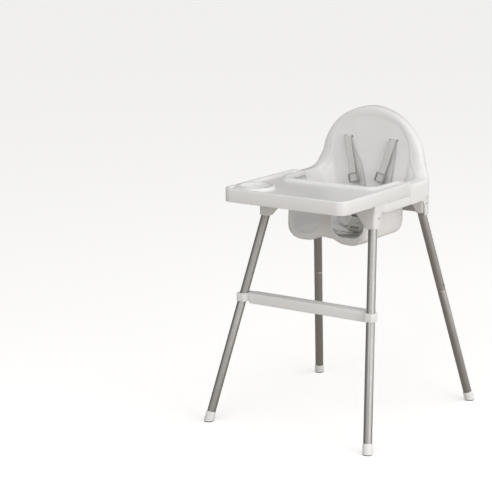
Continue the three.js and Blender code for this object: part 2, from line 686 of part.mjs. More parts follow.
// Foot cap round the tube's end, cut level, over a level pad that meets the floor.
function footCap(sx, sy) {
  const frame = legFrame(sx, sy, 0);
  const level = (z0, z1) =>
    block(-60, 60, -60, 60, z0, z1).translate(frame.elements[12], frame.elements[13], 0);
  const inLeg = (geometry) => geometry.applyMatrix4(frame.clone().invert());
  const outer = lathe([[0, -12], [CAP_R, -12], [CAP_R, CAP_HEIGHT - 2], [CAP_R - 1, CAP_HEIGHT], [0, CAP_HEIGHT]]);
  const bore = rod(TUBE_R + GAP, 9.5, CAP_HEIGHT + 5, SIDES);
  return cut(outer, bore, inLeg(level(-40, PAD_HEIGHT + GAP)));
}

function footPad(sx, sy) {
  const frame = legFrame(sx, sy, 0);
  const disc = rod(CAP_R - 1, -20, 20, SIDES).applyMatrix4(frame);
  const away = (z0, z1) =>
    block(-60, 60, -60, 60, z0, z1).translate(frame.elements[12], frame.elements[13], 0);
  return cut(disc, away(-50, 0), away(PAD_HEIGHT, 50)).applyMatrix4(frame.clone().invert());
}

function buildLeg({ name, sx, sy }) {
  const leg = new THREE.Group();
  const at = (geometry, material, nodeName, frame) => {
    const mesh = new THREE.Mesh(geometry, material);
    mesh.name = nodeName;
    mesh.applyMatrix4(frame);
    leg.add(mesh);
  };
  const top = legFrame(sx, sy, TUBE_TOP_Z);
  const socketButton = legFrame(sx, sy, SOCKET_BUTTON_Z);
  const joint = legFrame(sx, sy, jointZ(sy));
  const turn = new THREE.Matrix4().makeRotationZ(jointTurn(sx, sy)).setPosition(0, 0, JOINT_BUTTON_RISE);
  const jointButton = joint.clone().multiply(turn);
  at(upperTube(sx, sy), steel, `upper_tube_${name}`, top);
  at(leafSpring(TUBE_BORE_R), spring, `socket_spring_${name}`, socketButton);
  at(snapButton(TUBE_BORE_R, TUBE_R + 3.4), steel, `socket_button_${name}`, socketButton);
  at(lowerTube(sx, sy), steel, `lower_tube_${name}`, joint);
  at(leafSpring(NECK_BORE_R), spring, `joint_spring_${name}`, jointButton);
  at(snapButton(NECK_BORE_R, TUBE_R + 2.2), steel, `joint_button_${name}`, jointButton);
  at(footCap(sx, sy), capPlastic, `foot_cap_${name}`, legFrame(sx, sy, 0));
  at(footPad(sx, sy), rubber, `foot_pad_${name}`, legFrame(sx, sy, 0));
  return leg;
}

// ---- harness --------------------------------------------------------------------------
// A flat strap swept through points. Its width follows one direction after another, kept
// square to the path.
function strap(stops, widths, perSpan = 2) {
  const path = new THREE.CatmullRomCurve3(stops.map((p) => new THREE.Vector3(...p)), false, 'centripetal');
  const steps = (stops.length - 1) * perSpan;
  const rings = [];
  for (let i = 0; i <= steps; i += 1) {
    const share = i / steps;
    const centre = path.getPoint(share);
    const tangent = path.getTangent(share);
    const k = Math.min(widths.length - 2, Math.floor(share * (widths.length - 1)));
    const mix = share * (widths.length - 1) - k;
    const wide = new THREE.Vector3(...widths[k]).lerp(new THREE.Vector3(...widths[k + 1]), mix);
    wide.addScaledVector(tangent, -wide.dot(tangent)).normalize();
    const thin = new THREE.Vector3().crossVectors(tangent, wide);
    rings.push(
      [[-1, -1], [1, -1], [1, 1], [-1, 1]].map(([a, b]) =>
        centre.clone().addScaledVector(wide, (a * WEB.width) / 2).addScaledVector(thin, (b * WEB.thick) / 2)),
    );
  }
  return loft(rings);
}

const LEVEL = [[1, 0, 0], [1, 0, 0]];

// The buckle lies over the front of the seat, its socket end up and to the rear.
const BUCKLE = { x: 52, y: -4, z: 576, tilt: 44, half: 26, length: 46, thick: 14 };
const TONGUE = { blade: 11, loopHalf: 16, loopX: 16.8, frontY: 39, backY: 30 };

function buckleFrame() {
  const turn = new THREE.Matrix4().makeRotationX(THREE.MathUtils.degToRad(BUCKLE.tilt));
  return turn.setPosition(BUCKLE.x, BUCKLE.y, BUCKLE.z);
}

// A point given in the buckle's frame, as a stop of a strap.
const inBuckle = (x, y, z) => new THREE.Vector3(x, y, z).applyMatrix4(buckleFrame()).toArray();

// The end of a strap: it comes from below and passes through the loop of a tongue.
const throughLoop = (side, y) => [inBuckle(side * TONGUE.loopX, y, -12), inBuckle(side * TONGUE.loopX, y, 6)];

const SHOULDER = {
  left: { bend: [-75.4, 150.6, 797], end: [-38, 127, 673] },
  right: { bend: [75.6, 150.6, 797], end: [45, 127.5, 681] },
};

const STRAPS = {
  shoulder_strap_left: {
    stops: [[-77, 172, 805.7], [-77, 157, 805.7], [-76.6, 152.7, 803.5], SHOULDER.left.bend, SHOULDER.left.end],
    widths: LEVEL,
  },
  shoulder_strap_right: {
    stops: [[77, 172, 805.7], [77, 157, 805.7], [76.8, 152.7, 803.5], SHOULDER.right.bend, SHOULDER.right.end],
    widths: LEVEL,
  },
  shoulder_return_left: {
    stops: [
      [-77, 172, 803.3], [-77, 156.4, 803.3], [-76.4, 154.4, 799.4], [-73, 153.6, 789], [-58, 152, 760],
      [-43, 150, 736], [-24, 142, 693], [-11, 133, 648], [4, 98, 615], [26, 58, 602],
      ...throughLoop(-1, 37),
    ],
    widths: LEVEL,
  },
  shoulder_return_right: {
    stops: [
      [77, 172, 803.3], [77, 156.4, 803.3], [76.8, 154.4, 799.4], [76.4, 153.6, 789], [75, 152, 764],
      [73, 150, 738], [70, 142, 695], [66, 133, 650], [66, 98, 616], [67, 58, 602],
      ...throughLoop(1, 37),
    ],
    widths: LEVEL,
  },
  waist_strap_left: {
    stops: [
      [-92, 153, 606], [-92, 136, 606], [-89, 126, 602], [-66, 100, 574], [-28, 70, 556], [8, 56, 560],
      ...throughLoop(-1, 33),
    ],
    widths: LEVEL,
  },
  waist_strap_right: {
    stops: [
      [92, 153, 606], [92, 136, 606], [92, 127, 602], [88, 104, 577], [80, 74, 558], [73, 54, 566],
      ...throughLoop(1, 33),
    ],
    widths: LEVEL,
  },
  crotch_strap: {
    stops: [
      [0, CROTCH_SLOT_Y, 538], [0, CROTCH_SLOT_Y, 553], [8, -54, 561], [32, -34, 557], [47, -15, 552],
      inBuckle(0, -15.5, -13), inBuckle(0, -15.5, -3), inBuckle(0, -15.5, 9),
    ],
    widths: LEVEL,
  },
};

// How a slider sits on its strap: its +Y runs up the straight stretch towards the slot.
function sliderFrame({ bend, end }) {
  const up = new THREE.Vector3(...bend).sub(new THREE.Vector3(...end)).normalize();
  const wide = new THREE.Vector3(1, 0, 0).addScaledVector(up, -up.x).normalize();
  const centre = new THREE.Vector3(...end).addScaledVector(up, 14);
  return new THREE.Matrix4().makeBasis(wide, up, new THREE.Vector3().crossVectors(wide, up)).setPosition(centre);
}

// A ladder-lock slider: a frame round the strap with a bar on either side of it.
function slider() {
  const frame = cut(slab(-16.5, 16.5, -14, 14, -2.8, 2.8, 3, 3), block(-13.4, 13.4, -10.8, 10.8, -5, 5));
  const bars = [-2.1, 2.1].map((z) => block(-14, 14, -2.2, 2.2, z - 0.7, z + 0.7));
  const room = block(-13.4, 13.4, -20, 20, -1.4, 1.4);
  return cut(join(frame, ...bars), room);
}

function buckleBody() {
  const { half, length, thick } = BUCKLE;
  const body = slab(-half, half, -length / 2, length / 2, -thick / 2, thick / 2, 7, 4);
  const socketRoom = block(-half + 3, half - 3, length / 2 - 18, length / 2 + 1, -1.6, 1.6);
  const strapRoom = block(-14, 14, -19, -12, -20, 20);
  return cut(body, socketRoom, strapRoom, rod(8.4, 1, 20, 18).translate(0, 7, 0));
}

function tongue(side) {
  const { blade, loopHalf, loopX, frontY, backY } = TONGUE;
  const loop = slab(loopX - loopHalf, loopX + loopHalf, backY - 4, frontY + 4, -1.2, 1.2, 4, 3);
  const slot = block(loopX - 13.6, loopX + 13.6, backY, frontY, -3, 3);
  const shank = block(1.2, 1.2 + 2 * blade - 1, BUCKLE.length / 2 - 17, backY - 3, -1.2, 1.2);
  const geometry = cut(join(loop, shank), slot);
  return side > 0 ? geometry : geometry.rotateY(Math.PI);
}

// A plate with a slot that keeps the straps from pulling out of the shell.
const anchor = (slotHeight) => cut(slab(-19, 19, -7, 7, -1.5, 1.5, 3, 3), block(-13.2, 13.2, -slotHeight / 2, slotHeight / 2, -3, 3));

// ---- the chair ------------------------------------------------------------------------
const chair = new THREE.Group();
function add(name, geometry, material, frame = new THREE.Matrix4()) {
  const mesh = new THREE.Mesh(geometry, material);
  mesh.name = name;
  mesh.applyMatrix4(frame);
  chair.add(mesh);
}

const facingRear = (x, y, z) => new THREE.Matrix4().makeRotationX(Math.PI / 2).setPosition(x, y, z);

add('seat_shell', seatShell(), plastic);
add('tray', tray(), trayPlastic);
add('footrest_board', footrestBoard(), plastic);
add('footrest_sleeve_left', footrestSleeve(-1), capPlastic);
add('footrest_sleeve_right', footrestSleeve(1), capPlastic);
for (const [name, { stops, widths }] of Object.entries(STRAPS)) add(name, strap(stops, widths), webbing);
add('slider_left', slider(), buckle, sliderFrame(SHOULDER.left));
add('slider_right', slider(), buckle, sliderFrame(SHOULDER.right));
add('buckle_body', buckleBody(), buckle, buckleFrame());
add('buckle_button', rod(8, 5, 8.2, 18).translate(0, 7, 0), buckle, buckleFrame());
add('tongue_left', tongue(-1), buckle, buckleFrame());
add('tongue_right', tongue(1), buckle, buckleFrame());
add('shoulder_anchor_left', anchor(5), buckle, facingRear(-SLOT.x, 167, SLOT.z));
add('shoulder_anchor_right', anchor(5), buckle, facingRear(SLOT.x, 167, SLOT.z));
add('waist_anchor_left', anchor(3), buckle, facingRear(-WAIST_SLOT.x, 148, WAIST_SLOT.z));
add('waist_anchor_right', anchor(3), buckle, facingRear(WAIST_SLOT.x, 148, WAIST_SLOT.z));
add('crotch_anchor', anchor(3), plastic, new THREE.Matrix4().setPosition(0, CROTCH_SLOT_Y, 541.7));
for (const quadrant of QUADRANTS) chair.add(buildLeg(quadrant));

export default chair;
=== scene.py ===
import json
import math

import bmesh
import bpy
import numpy as np
from mathutils import Matrix, Vector
from mathutils.bvhtree import BVHTree

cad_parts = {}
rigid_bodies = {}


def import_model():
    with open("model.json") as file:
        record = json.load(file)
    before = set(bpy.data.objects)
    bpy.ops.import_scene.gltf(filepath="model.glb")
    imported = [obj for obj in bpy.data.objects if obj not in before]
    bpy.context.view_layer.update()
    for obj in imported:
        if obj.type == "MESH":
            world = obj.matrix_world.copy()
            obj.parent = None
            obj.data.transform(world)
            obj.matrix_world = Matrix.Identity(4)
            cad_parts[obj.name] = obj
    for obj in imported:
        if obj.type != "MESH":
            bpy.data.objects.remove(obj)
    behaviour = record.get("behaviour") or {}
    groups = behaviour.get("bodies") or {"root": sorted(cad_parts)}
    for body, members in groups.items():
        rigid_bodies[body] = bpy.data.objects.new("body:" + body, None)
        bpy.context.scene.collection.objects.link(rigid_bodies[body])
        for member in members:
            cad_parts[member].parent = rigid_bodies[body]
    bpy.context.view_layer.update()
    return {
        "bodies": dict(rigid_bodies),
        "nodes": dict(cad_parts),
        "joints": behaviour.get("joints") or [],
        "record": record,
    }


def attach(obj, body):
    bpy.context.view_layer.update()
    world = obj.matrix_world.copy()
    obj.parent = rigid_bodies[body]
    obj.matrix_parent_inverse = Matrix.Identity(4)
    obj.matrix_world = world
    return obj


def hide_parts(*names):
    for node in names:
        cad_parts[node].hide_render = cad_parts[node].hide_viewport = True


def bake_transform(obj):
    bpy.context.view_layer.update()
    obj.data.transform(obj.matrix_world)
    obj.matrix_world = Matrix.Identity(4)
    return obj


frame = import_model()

# Looks of a baby high chair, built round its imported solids. The builders below work in
# millimetres in the part's frame, and new_object() turns them into metres.
MM = 0.001
WELD = 0.004
SIDES = ((-1, "left"), (1, "right"))
collection = bpy.context.scene.collection


# ---- camera, light and floor ----
def framed(axes, location):
    """The matrix of a frame from its axes and its origin."""
    matrix = Matrix(axes).transposed().to_4x4()
    matrix.translation = location
    return matrix


def look(azimuth, elevation):
    """Axes (right, up, back) of a level camera at these angles."""
    a, e = math.radians(azimuth), math.radians(elevation)
    back = Vector((math.sin(a) * math.cos(e), -math.cos(a) * math.cos(e), math.sin(e)))
    right = Vector((math.cos(a), math.sin(a), 0))
    return right, back.cross(right), back


def place(data, name, location, axes):
    obj = bpy.data.objects.new(name, data)
    obj.matrix_world = framed(axes, location)
    collection.objects.link(obj)
    return obj


def aim(location, target):
    """Axes of a light at location that shines on target."""
    back = (Vector(location) - Vector(target)).normalized()
    right = Vector((0, 0, 1)).cross(back).normalized()
    return right, back.cross(right), back


CAMERA_AT = (2.61487, -4.36733, 1.61770)
CAMERA_ANGLES = (34.0948, 12.3496)
CAMERA_LENS, CAMERA_SENSOR, CAMERA_REACH = 129.73, 36, 200


def build_camera():
    data = bpy.data.cameras.new("camera")
    data.lens = CAMERA_LENS
    data.sensor_width = CAMERA_SENSOR
    data.clip_end = CAMERA_REACH
    bpy.context.scene.camera = place(data, "camera", CAMERA_AT, look(*CAMERA_ANGLES))


def area_light(name, location, target, size, power):
    data = bpy.data.lights.new(name, "AREA")
    data.shape = "RECTANGLE"
    data.size, data.size_y = size
    data.energy = power
    place(data, name, location, aim(location, target)).visible_camera = False


STUDIO_STRENGTH = 0.86
STUDIO_SIDE = (0.76, -0.50, 0.41)
STUDIO_DIM, STUDIO_DIM_AT = (0.20, 0.195, 0.19, 1), 0.30
STUDIO_BRIGHT, STUDIO_BRIGHT_AT = (0.92, 0.92, 0.92, 1), 0.66
BACKDROP_COLOR = (0.91, 0.91, 0.905, 1)


def build_light():
    """Three soft lights in metres and watts, in a pale studio."""
    area_light("key", (3.5, -1.0, 1.35), (0, 0, 0.55), (2.6, 2.4), 44)
    area_light("front", (0.5, -3.3, 2.7), (0, 0, 0.5), (2.4, 2.0), 30)
    area_light("rear", (3.3, 2.3, 1.3), (0, 0, 0.5), (2.4, 2.2), 25)
    world = bpy.data.worlds.new("studio")
    bpy.context.scene.world = world
    world.use_nodes = True
    n = Nodes(world.node_tree)
    background = n.tree.nodes["Background"]
    background.inputs["Strength"].default_value = STUDIO_STRENGTH
    # The studio is bright towards the key light and falls off towards the other side.
    side = n.node("VectorMath")
    side.operation = "DOT_PRODUCT"
    n.put(side.inputs[0], n.node("TexCoord").outputs["Generated"])
    n.put(side.inputs[1], STUDIO_SIDE)
    stretch = n.node("MapRange", Value=side.outputs["Value"], From_Min=-1)
    ramp = n.node("ValToRGB", Fac=stretch.outputs["Result"])
    dim, bright = ramp.color_ramp.elements
    dim.position, dim.color = STUDIO_DIM_AT, STUDIO_DIM
    bright.position, bright.color = STUDIO_BRIGHT_AT, STUDIO_BRIGHT
    n.put(background.inputs["Color"], ramp.outputs["Color"])
    # The camera sees the same pale backdrop all round, so a low view has no dark sky.
    backdrop = n.node("Background", Color=BACKDROP_COLOR)
    seen = n.node("MixShader", Fac=n.node("LightPath").outputs["Is Camera Ray"])
    n.put(seen.inputs[1], background.outputs["Background"])
    n.put(seen.inputs[2], backdrop.outputs["Background"])
    n.put(n.tree.nodes["World Output"].inputs["Surface"], seen.outputs["Shader"])
    bpy.context.scene.view_settings.view_transform = "Standard"


# ---- material nodes ----
class Nodes:
    """Short calls for a node tree."""

    def __init__(self, tree):
        self.tree = tree

    def put(self, socket, value):
        """Links a socket to another one or sets its value."""
        if isinstance(value, bpy.types.NodeSocket):
            self.tree.links.new(value, socket)
        else:
            socket.default_value = value

    def node(self, kind, **sockets):
        node = self.tree.nodes.new("ShaderNode" + kind)
        for socket, value in sockets.items():
            self.put(node.inputs[socket.replace("_", " ")], value)
        return node


class Surface(Nodes):
    """A Principled material and the patterns that feed it."""

    def __init__(self, name, roughness, metallic=0.0, **sockets):
        self.material = bpy.data.materials.new(name)
        self.material.use_nodes = True
        super().__init__(self.material.node_tree)
        self.shader = self.tree.nodes["Principled BSDF"]
        for socket, value in {"Roughness": roughness, "Metallic": metallic, **sockets}.items():
            self.shader.inputs[socket.replace("_", " ")].default_value = value

    def link(self, output, socket):
        self.tree.links.new(output, self.shader.inputs[socket])

    def attribute(self, name, output="Fac"):
        node = self.node("Attribute")
        node.attribute_name = name
        return node.outputs[output]

    def noise(self, scale, detail=3.0, vector=None, roughness=0.5):
        vector = vector or self.node("TexCoord").outputs["Object"]
        node = self.node("TexNoise", Vector=vector, Scale=scale, Detail=detail, Roughness=roughness)
        return node.outputs["Fac"]

    def spread(self, value, low=0.0, high=1.0, start=0.3, end=0.7):
        """Maps start to end onto low to high."""
        stops = {"From_Min": start, "From_Max": end, "To_Min": low, "To_Max": high}
        return self.node("MapRange", Value=value, **stops).outputs["Result"]

    def mix(self, factor, first, second):
        node = self.node("Mix")
        node.data_type = "RGBA"
        self.put(node.inputs["Factor"], factor)
        for socket, value in ((node.inputs[6], first), (node.inputs[7], second)):
            self.put(socket, (*value, 1) if isinstance(value, tuple) else value)
        return node.outputs[2]

    def math(self, operation, first, second=0.0):
        node = self.node("Math")
        node.operation = operation
        self.put(node.inputs[0], first)
        self.put(node.inputs[1], second)
        return node.outputs[0]

    def cloud(self, scale, detail, dark, light):
        """A soft mottle between two tones."""
        patches = self.noise(scale, detail)
        self.link(self.mix(self.spread(patches), dark, light), "Base Color")

    def bump(self, *layers):
        """Stacks (height, strength, distance) layers into the normal."""
        normal = None
        for height, strength, distance in layers:
            node = self.node("Bump", Height=height, Strength=strength, Distance=distance)
            if normal:
                self.put(node.inputs["Normal"], normal)
            normal = node.outputs["Normal"]
        self.link(normal, "Normal")


def moulded(name, light, dark, gloss, grain):
    """Moulded plastic: faint clouds, a fine grain and soft handling marks."""
    s = Surface(name, gloss, IOR=1.49)
    s.cloud(7.0, 4.0, dark, light)
    wear = s.noise(38.0, 6.0, roughness=0.65)
    s.link(s.spread(wear, gloss - 0.05, gloss + 0.07), "Roughness")
    fine = s.noise(2600.0, 2.0)
    broad = s.noise(16.0, 2.0)
    s.bump((broad, 0.10, 0.0012), (fine, grain, 0.00006))
    return s.material


def tube_metal(name, light, dark, gloss):
    """Drawn tube: faint lines along it, soft clouds and light scuffs."""
    s = Surface(name, gloss, metallic=1.0)
    along = s.attribute("own_axis", "Vector")
    stretch = s.node("Mapping", Vector=along, Scale=(900.0, 900.0, 6.0))
    drawn = s.noise(1.0, 2.0, vector=stretch.outputs["Vector"])
    s.cloud(11.0, 2.0, dark, light)
    scuff = s.noise(60.0, 5.0, roughness=0.7)
    s.link(s.spread(scuff, gloss - 0.02, gloss + 0.04), "Roughness")
    s.bump((drawn, 0.04, 0.00002))
    return s.material


WARP_THREADS, WEFT_PITCH = 22, 0.0021


def webbing(name, thread, gap):
    """Plain-woven webbing: ribs across, finer warp along, a fuzzy sheen."""
    s = Surface(name, 0.85, Sheen_Weight=0.25, Sheen_Roughness=0.5)
    across, run = s.attribute("across"), s.attribute("run")
    warp = s.math("SINE", s.math("MULTIPLY", across, math.pi * WARP_THREADS))
    weft = s.math("SINE", s.math("MULTIPLY", run, math.tau / WEFT_PITCH))
    weave = s.math("MULTIPLY", warp, weft)
    height = s.spread(weave, start=-1.0, end=1.0)
    fuzz = s.noise(1500.0, 3.0)
    tone = s.math("ADD", s.math("MULTIPLY", height, 0.75), s.math("MULTIPLY", fuzz, 0.5))
    woven = s.mix(s.spread(tone, start=0.2, end=1.0), gap, thread)
    # A flat selvedge closes the weave along both edges, painted a shade darker: painted shade along
    # the strap's edges.
    from_middle = s.math("ABSOLUTE", s.math("SUBTRACT", across, 0.5))
    edge = s.spread(from_middle, 0.0, 0.8, 0.425, 0.45)
    s.link(s.mix(edge, woven, gap), "Base Color")
    s.bump((height, 0.55, 0.0003), (fuzz, 0.2, 0.0001))
    return s.material


def rubbery(name, color, worn):
    """Matte rubber with lighter, smoother worn patches."""
    s = Surface(name, 0.8, Specular_IOR_Level=0.35)
    patch = s.noise(120.0, 5.0, roughness=0.7)
    s.link(s.mix(s.spread(patch), color, worn), "Base Color")
    s.link(s.spread(patch, 0.7, 0.92), "Roughness")
    s.bump((s.noise(1400.0, 3.0), 0.35, 0.0001))
    return s.material


FLOOR_GLOW = 0.31


def floor_paint(name, seen, bounced):
    """A pale studio floor that throws a warmer, deeper light back up at the chair."""
    s = Surface(name, 0.9, Specular_IOR_Level=0.1)
    direct = s.node("LightPath").outputs["Is Camera Ray"]
    s.link(s.mix(direct, bounced, seen), "Base Color")
    s.put(s.shader.inputs["Emission Color"], (*seen, 1))
    s.link(s.math("MULTIPLY", direct, FLOOR_GLOW), "Emission Strength")
    return s.material


# Light and dark tone, roughness and, on plastics, the strength of the grain.
SHELL = moulded("shell_plastic", (0.80, 0.797, 0.788), (0.775, 0.77, 0.757), 0.42, 0.30)
TRAY = moulded("tray_plastic", (0.80, 0.797, 0.788), (0.78, 0.775, 0.763), 0.33, 0.16)
CAPS = moulded("cap_plastic", (0.80, 0.797, 0.79), (0.78, 0.776, 0.768), 0.45, 0.30)
DARK = moulded("buckle_plastic", (0.105, 0.102, 0.095), (0.085, 0.082, 0.078), 0.42, 0.35)
GREY = moulded("slider_plastic", (0.36, 0.358, 0.345), (0.32, 0.318, 0.305), 0.38, 0.3)
PALE = moulded("buckle_pale", (0.60, 0.605, 0.55), (0.56, 0.565, 0.51), 0.34, 0.2)
# The tube steel's base colour is held dark: painted shade standing in for the dark room the tubes
# reflect, darker than the steel's own silver.
SHADED_STEEL = tube_metal("tube_steel", (0.395, 0.387, 0.376), (0.37, 0.362, 0.35), 0.42)
# The buttons are painted near black: painted shade of the holes they sit in, not the steel's own
# colour.
HOLE_SHADED_BUTTON = tube_metal("button_hole_shade", (0.17, 0.166, 0.16), (0.14, 0.136, 0.13), 0.42)
SPRING = tube_metal("spring_steel", (0.42, 0.43, 0.44), (0.36, 0.365, 0.37), 0.32)
RUBBER = rubbery("foot_rubber", (0.055, 0.052, 0.048), (0.09, 0.085, 0.078))
WEB = webbing("webbing", (0.68, 0.675, 0.66), (0.50, 0.495, 0.48))


# ---- mesh building ----
def new_object(points, faces):
    mesh = bpy.data.meshes.new("piece")
    places = [tuple(p) for p in np.asarray(points, float) * MM]
    mesh.from_pydata(places, [], [tuple(face) for face in faces])
    body = bmesh.new()
    body.from_mesh(mesh)
    bmesh.ops.recalc_face_normals(body, faces=body.faces)
    body.to_mesh(mesh)
    body.free()
    obj = bpy.data.objects.new("piece", mesh)
    collection.objects.link(obj)
    return obj


def settle(obj):
    """Applies the object's modifiers to its mesh."""
    graph = bpy.context.evaluated_depsgraph_get()
    mesh = bpy.data.meshes.new_from_object(obj.evaluated_get(graph))
    obj.modifiers.clear()
    obj.data = mesh


def combine(obj, tools, operation):
    """One boolean for each tool, which is then removed."""
    for tool in tools:
        modifier = obj.modifiers.new("cut", "BOOLEAN")
        modifier.operation = operation
        modifier.solver = "MANIFOLD"
        modifier.object = tool
        settle(obj)
        bpy.data.objects.remove(tool)
    return obj


def join(obj, *tools):
    return combine(obj, tools, "UNION")


def cut(obj, *tools):
    return combine(obj, tools, "DIFFERENCE")


def around(count):
    """Each place of a ring with the next one."""
    return [(i, (i + 1) % count) for i in range(count)]


def loft(rings):
    """A solid skinned over rings of equal point counts."""
    rings = [np.asarray(ring, float) for ring in rings]
    count = len(rings[0])
    last = (len(rings) - 1) * count
    faces = [(k + i, k + j, k + j + count, k + i + count)
             for k in range(0, last, count) for i, j in around(count)]
    faces.append(tuple(reversed(range(count))))
    faces.append(tuple(range(last, last + count)))
    return new_object(np.vstack(rings), faces)


def round_corner(cx, cy, r, start, end, count):
    """Points on an arc about (cx, cy), its angles in degrees."""
    angles = np.radians(np.linspace(start, end, count))
    return [(cx + r * math.cos(a), cy + r * math.sin(a)) for a in angles]


def round_rect(x0, x1, y0, y1, r, z, per_corner=8):
    """A rectangle with round corners, level at z."""
    points = []
    left, right, near, far = x0 + r, x1 - r, y0 + r, y1 - r
    for cx, cy, start in ((right, far, 0), (left, far, 90), (left, near, 180), (right, near, 270)):
        points += round_corner(cx, cy, r, start, start + 90, per_corner)
    return np.array([(x, y, z) for x, y in points])


def pillow(x0, x1, y0, y1, z0, z1, r, edge, per_corner=8, steps=3):
    """A slab with round corners in plan and rounded top and bottom edges."""
    levels = []
    for angle in np.radians(np.linspace(0, 90, steps + 1)):
        levels.append((edge * (1 - math.sin(angle)), edge * (1 - math.cos(angle))))
    heights = [(i, z0 + d) for i, d in levels] + [(i, z1 - d) for i, d in reversed(levels)]
    return loft([round_rect(x0 + i, x1 - i, y0 + i, y1 - i, max(r - i, 0.2), z, per_corner)
                 for i, z in heights])


def block(x0, x1, y0, y1, z0, z1):
    corners = [(x, y, z) for z in (z0, z1) for x, y in ((x0, y0), (x1, y0), (x1, y1), (x0, y1))]
    faces = [(0, 3, 2, 1), (4, 5, 6, 7), (0, 1, 5, 4), (1, 2, 6, 5), (2, 3, 7, 6), (3, 0, 4, 7)]
    return new_object(corners, faces)


def lathe(profile, segments=56):
    """A solid turned about Z from (radius, z) pairs; off the axis it closes on itself."""
    points, faces = [], []
    rows = []
    for radius, z in profile:
        if radius < 1e-6:
            rows.append([len(points)])
            points.append((0, 0, z))
        else:
            rows.append(list(range(len(points), len(points) + segments)))
            for i in range(segments):
                angle = math.tau * i / segments
                points.append((radius * math.cos(angle), radius * math.sin(angle), z))
    pairs = list(zip(rows, rows[1:]))
    if len(rows[0]) > 1 and len(rows[-1]) > 1:
        pairs.append((rows[-1], rows[0]))
    for low, high in pairs:
        for i, j in around(segments):
            ring = [low[i % len(low)], low[j % len(low)]]
            ring += [high[j % len(high)], high[i % len(high)]]
            face = [v for k, v in enumerate(ring) if v not in ring[:k]]
            if len(face) > 2:
                faces.append(face)
    return new_object(points, faces)


def rod(radius, z0, z1, segments=40):
    return lathe([(0, z0), (radius, z0), (radius, z1), (0, z1)], segments)


def moved(obj, matrix):
    """Moves the mesh by a matrix given in millimetres."""
    matrix = matrix.copy()
    matrix.translation = matrix.translation * MM
    obj.data.transform(matrix)
    if matrix.determinant() < 0:
        obj.data.flip_normals()
    return obj


def turned(axis, degrees, at=(0, 0, 0)):
    return Matrix.Translation(Vector(at)) @ Matrix.Rotation(math.radians(degrees), 4, axis)


def plate(outline, y0, y1):
    """An outline of (x, z) points extruded along Y."""
    rings = [[(x, y, z) for x, z in outline] for y in (y0, y1)]
    return loft(rings)


def spline(stops, per_span, extra=()):
    """Centripetal Catmull-Rom curve through the stops, at extra stations too."""
    p = np.asarray(stops, float)
    even = {k + w / per_span for k in range(len(p) - 1) for w in range(per_span)}
    stations = sorted(even | set(extra))
    p = np.vstack([2 * p[0] - p[1], p, 2 * p[-1] - p[-2]])
    curve = []
    for k in range(len(p) - 3):
        p0, p1, p2, p3 = p[k:k + 4]
        d0, d1, d2 = (np.linalg.norm(b - a) ** 0.5 for a, b in ((p0, p1), (p1, p2), (p2, p3)))
        d0, d1, d2 = (max(d, 1e-3) for d in (d0, d1, d2))
        m1 = ((p1 - p0) / d0 - (p2 - p0) / (d0 + d1) + (p2 - p1) / d1) * d1
        m2 = ((p2 - p1) / d1 - (p3 - p1) / (d1 + d2) + (p3 - p2) / d2) * d1
        for w in (at - k for at in stations if k <= at < k + 1):
            a, b = 2 * w ** 3 - 3 * w ** 2 + 1, w ** 3 - 2 * w ** 2 + w
            c, d = -2 * w ** 3 + 3 * w ** 2, w ** 3 - w ** 2
            curve.append(a * p1 + b * m1 + c * p2 + d * m2)
    curve.append(p[-2])
    return np.array(curve)


def bent(first, middle, last, w):
    """A share w along a quadratic curve."""
    return (1 - w) ** 2 * first + 2 * w * (1 - w) * middle + w * w * last


def bead(path, radius, sides=10):
    """A round bead swept along a path of points, with flat ends."""
    path = np.asarray(path, float)
    tangents = np.roll(path, -1, 0) - np.roll(path, 1, 0)
    tangents[0], tangents[-1] = path[1] - path[0], path[-1] - path[-2]
    tangents /= np.linalg.norm(tangents, axis=1)[:, None]
    side = np.cross(tangents[0], (0.31, 0.95, 0.05))
    angles = np.linspace(0, math.tau, sides, endpoint=False)
    rings = []
    for point, tangent in zip(path, tangents):
        side = side - tangent * side.dot(tangent)
        side /= np.linalg.norm(side)
        other = np.cross(tangent, side)
        rings.append([point + radius * (math.cos(a) * side + math.sin(a) * other) for a in angles])
    return loft(rings)


def finish_mesh(obj, material, angle):
    """Welds slivers, shades between sharp edges and gives the material."""
    body = bmesh.new()
    body.from_mesh(obj.data)
    bmesh.ops.remove_doubles(body, verts=body.verts, dist=WELD * MM)
    bmesh.ops.dissolve_degenerate(body, edges=body.edges, dist=WELD * MM)
    body.to_mesh(obj.data)
    body.free()
    obj.data.materials.clear()
    obj.data.materials.append(material)
    obj.data.shade_smooth()
    obj.data.set_sharp_from_angle(angle=math.radians(angle))


def show(obj, name, body, slot, *nodes):
    """Says what a piece is called, rides on and stands for; its slot is not used."""
    obj.name = name
    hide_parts(*nodes)
    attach(obj, body)


def present(obj, material, name, body, slot, node, angle=32.0):
    finish_mesh(obj, material, angle)
    show(obj, name, body, slot, node)


# ---- seat shell ----
WALL, GAP, SEAM_Y = 3.2, 0.35, 42.0
ARM_X, ARM_Z = 200.0, 703.0
RIM_X, RIM_Z = 197.4, 694.0
LEDGE_Z, SKIRT_Z, REAR_Y, TOP_Z = 669.6, 642.0, 191.5, 900.0
FRONT_Y, BACK_Y = -94.5, 176.0
# The four legs: middle, places at the socket's mouth and on the floor, tube and socket.
LEG_Y, LEG_TOP, LEG_FOOT = 7.0, (180.0, 143.0, 600.0), (269.5, 309.0)
TUBE_R, TUBE_TOP_Z, MOUTH_Z = 12.5, 658, 601.0
BUTTON_Z, BUTTON_HOLE_R = 628, 3.5
SHOULDER_X, SHOULDER_Z = 77, 804.5
WAIST_X, WAIST_Z = 92, 606
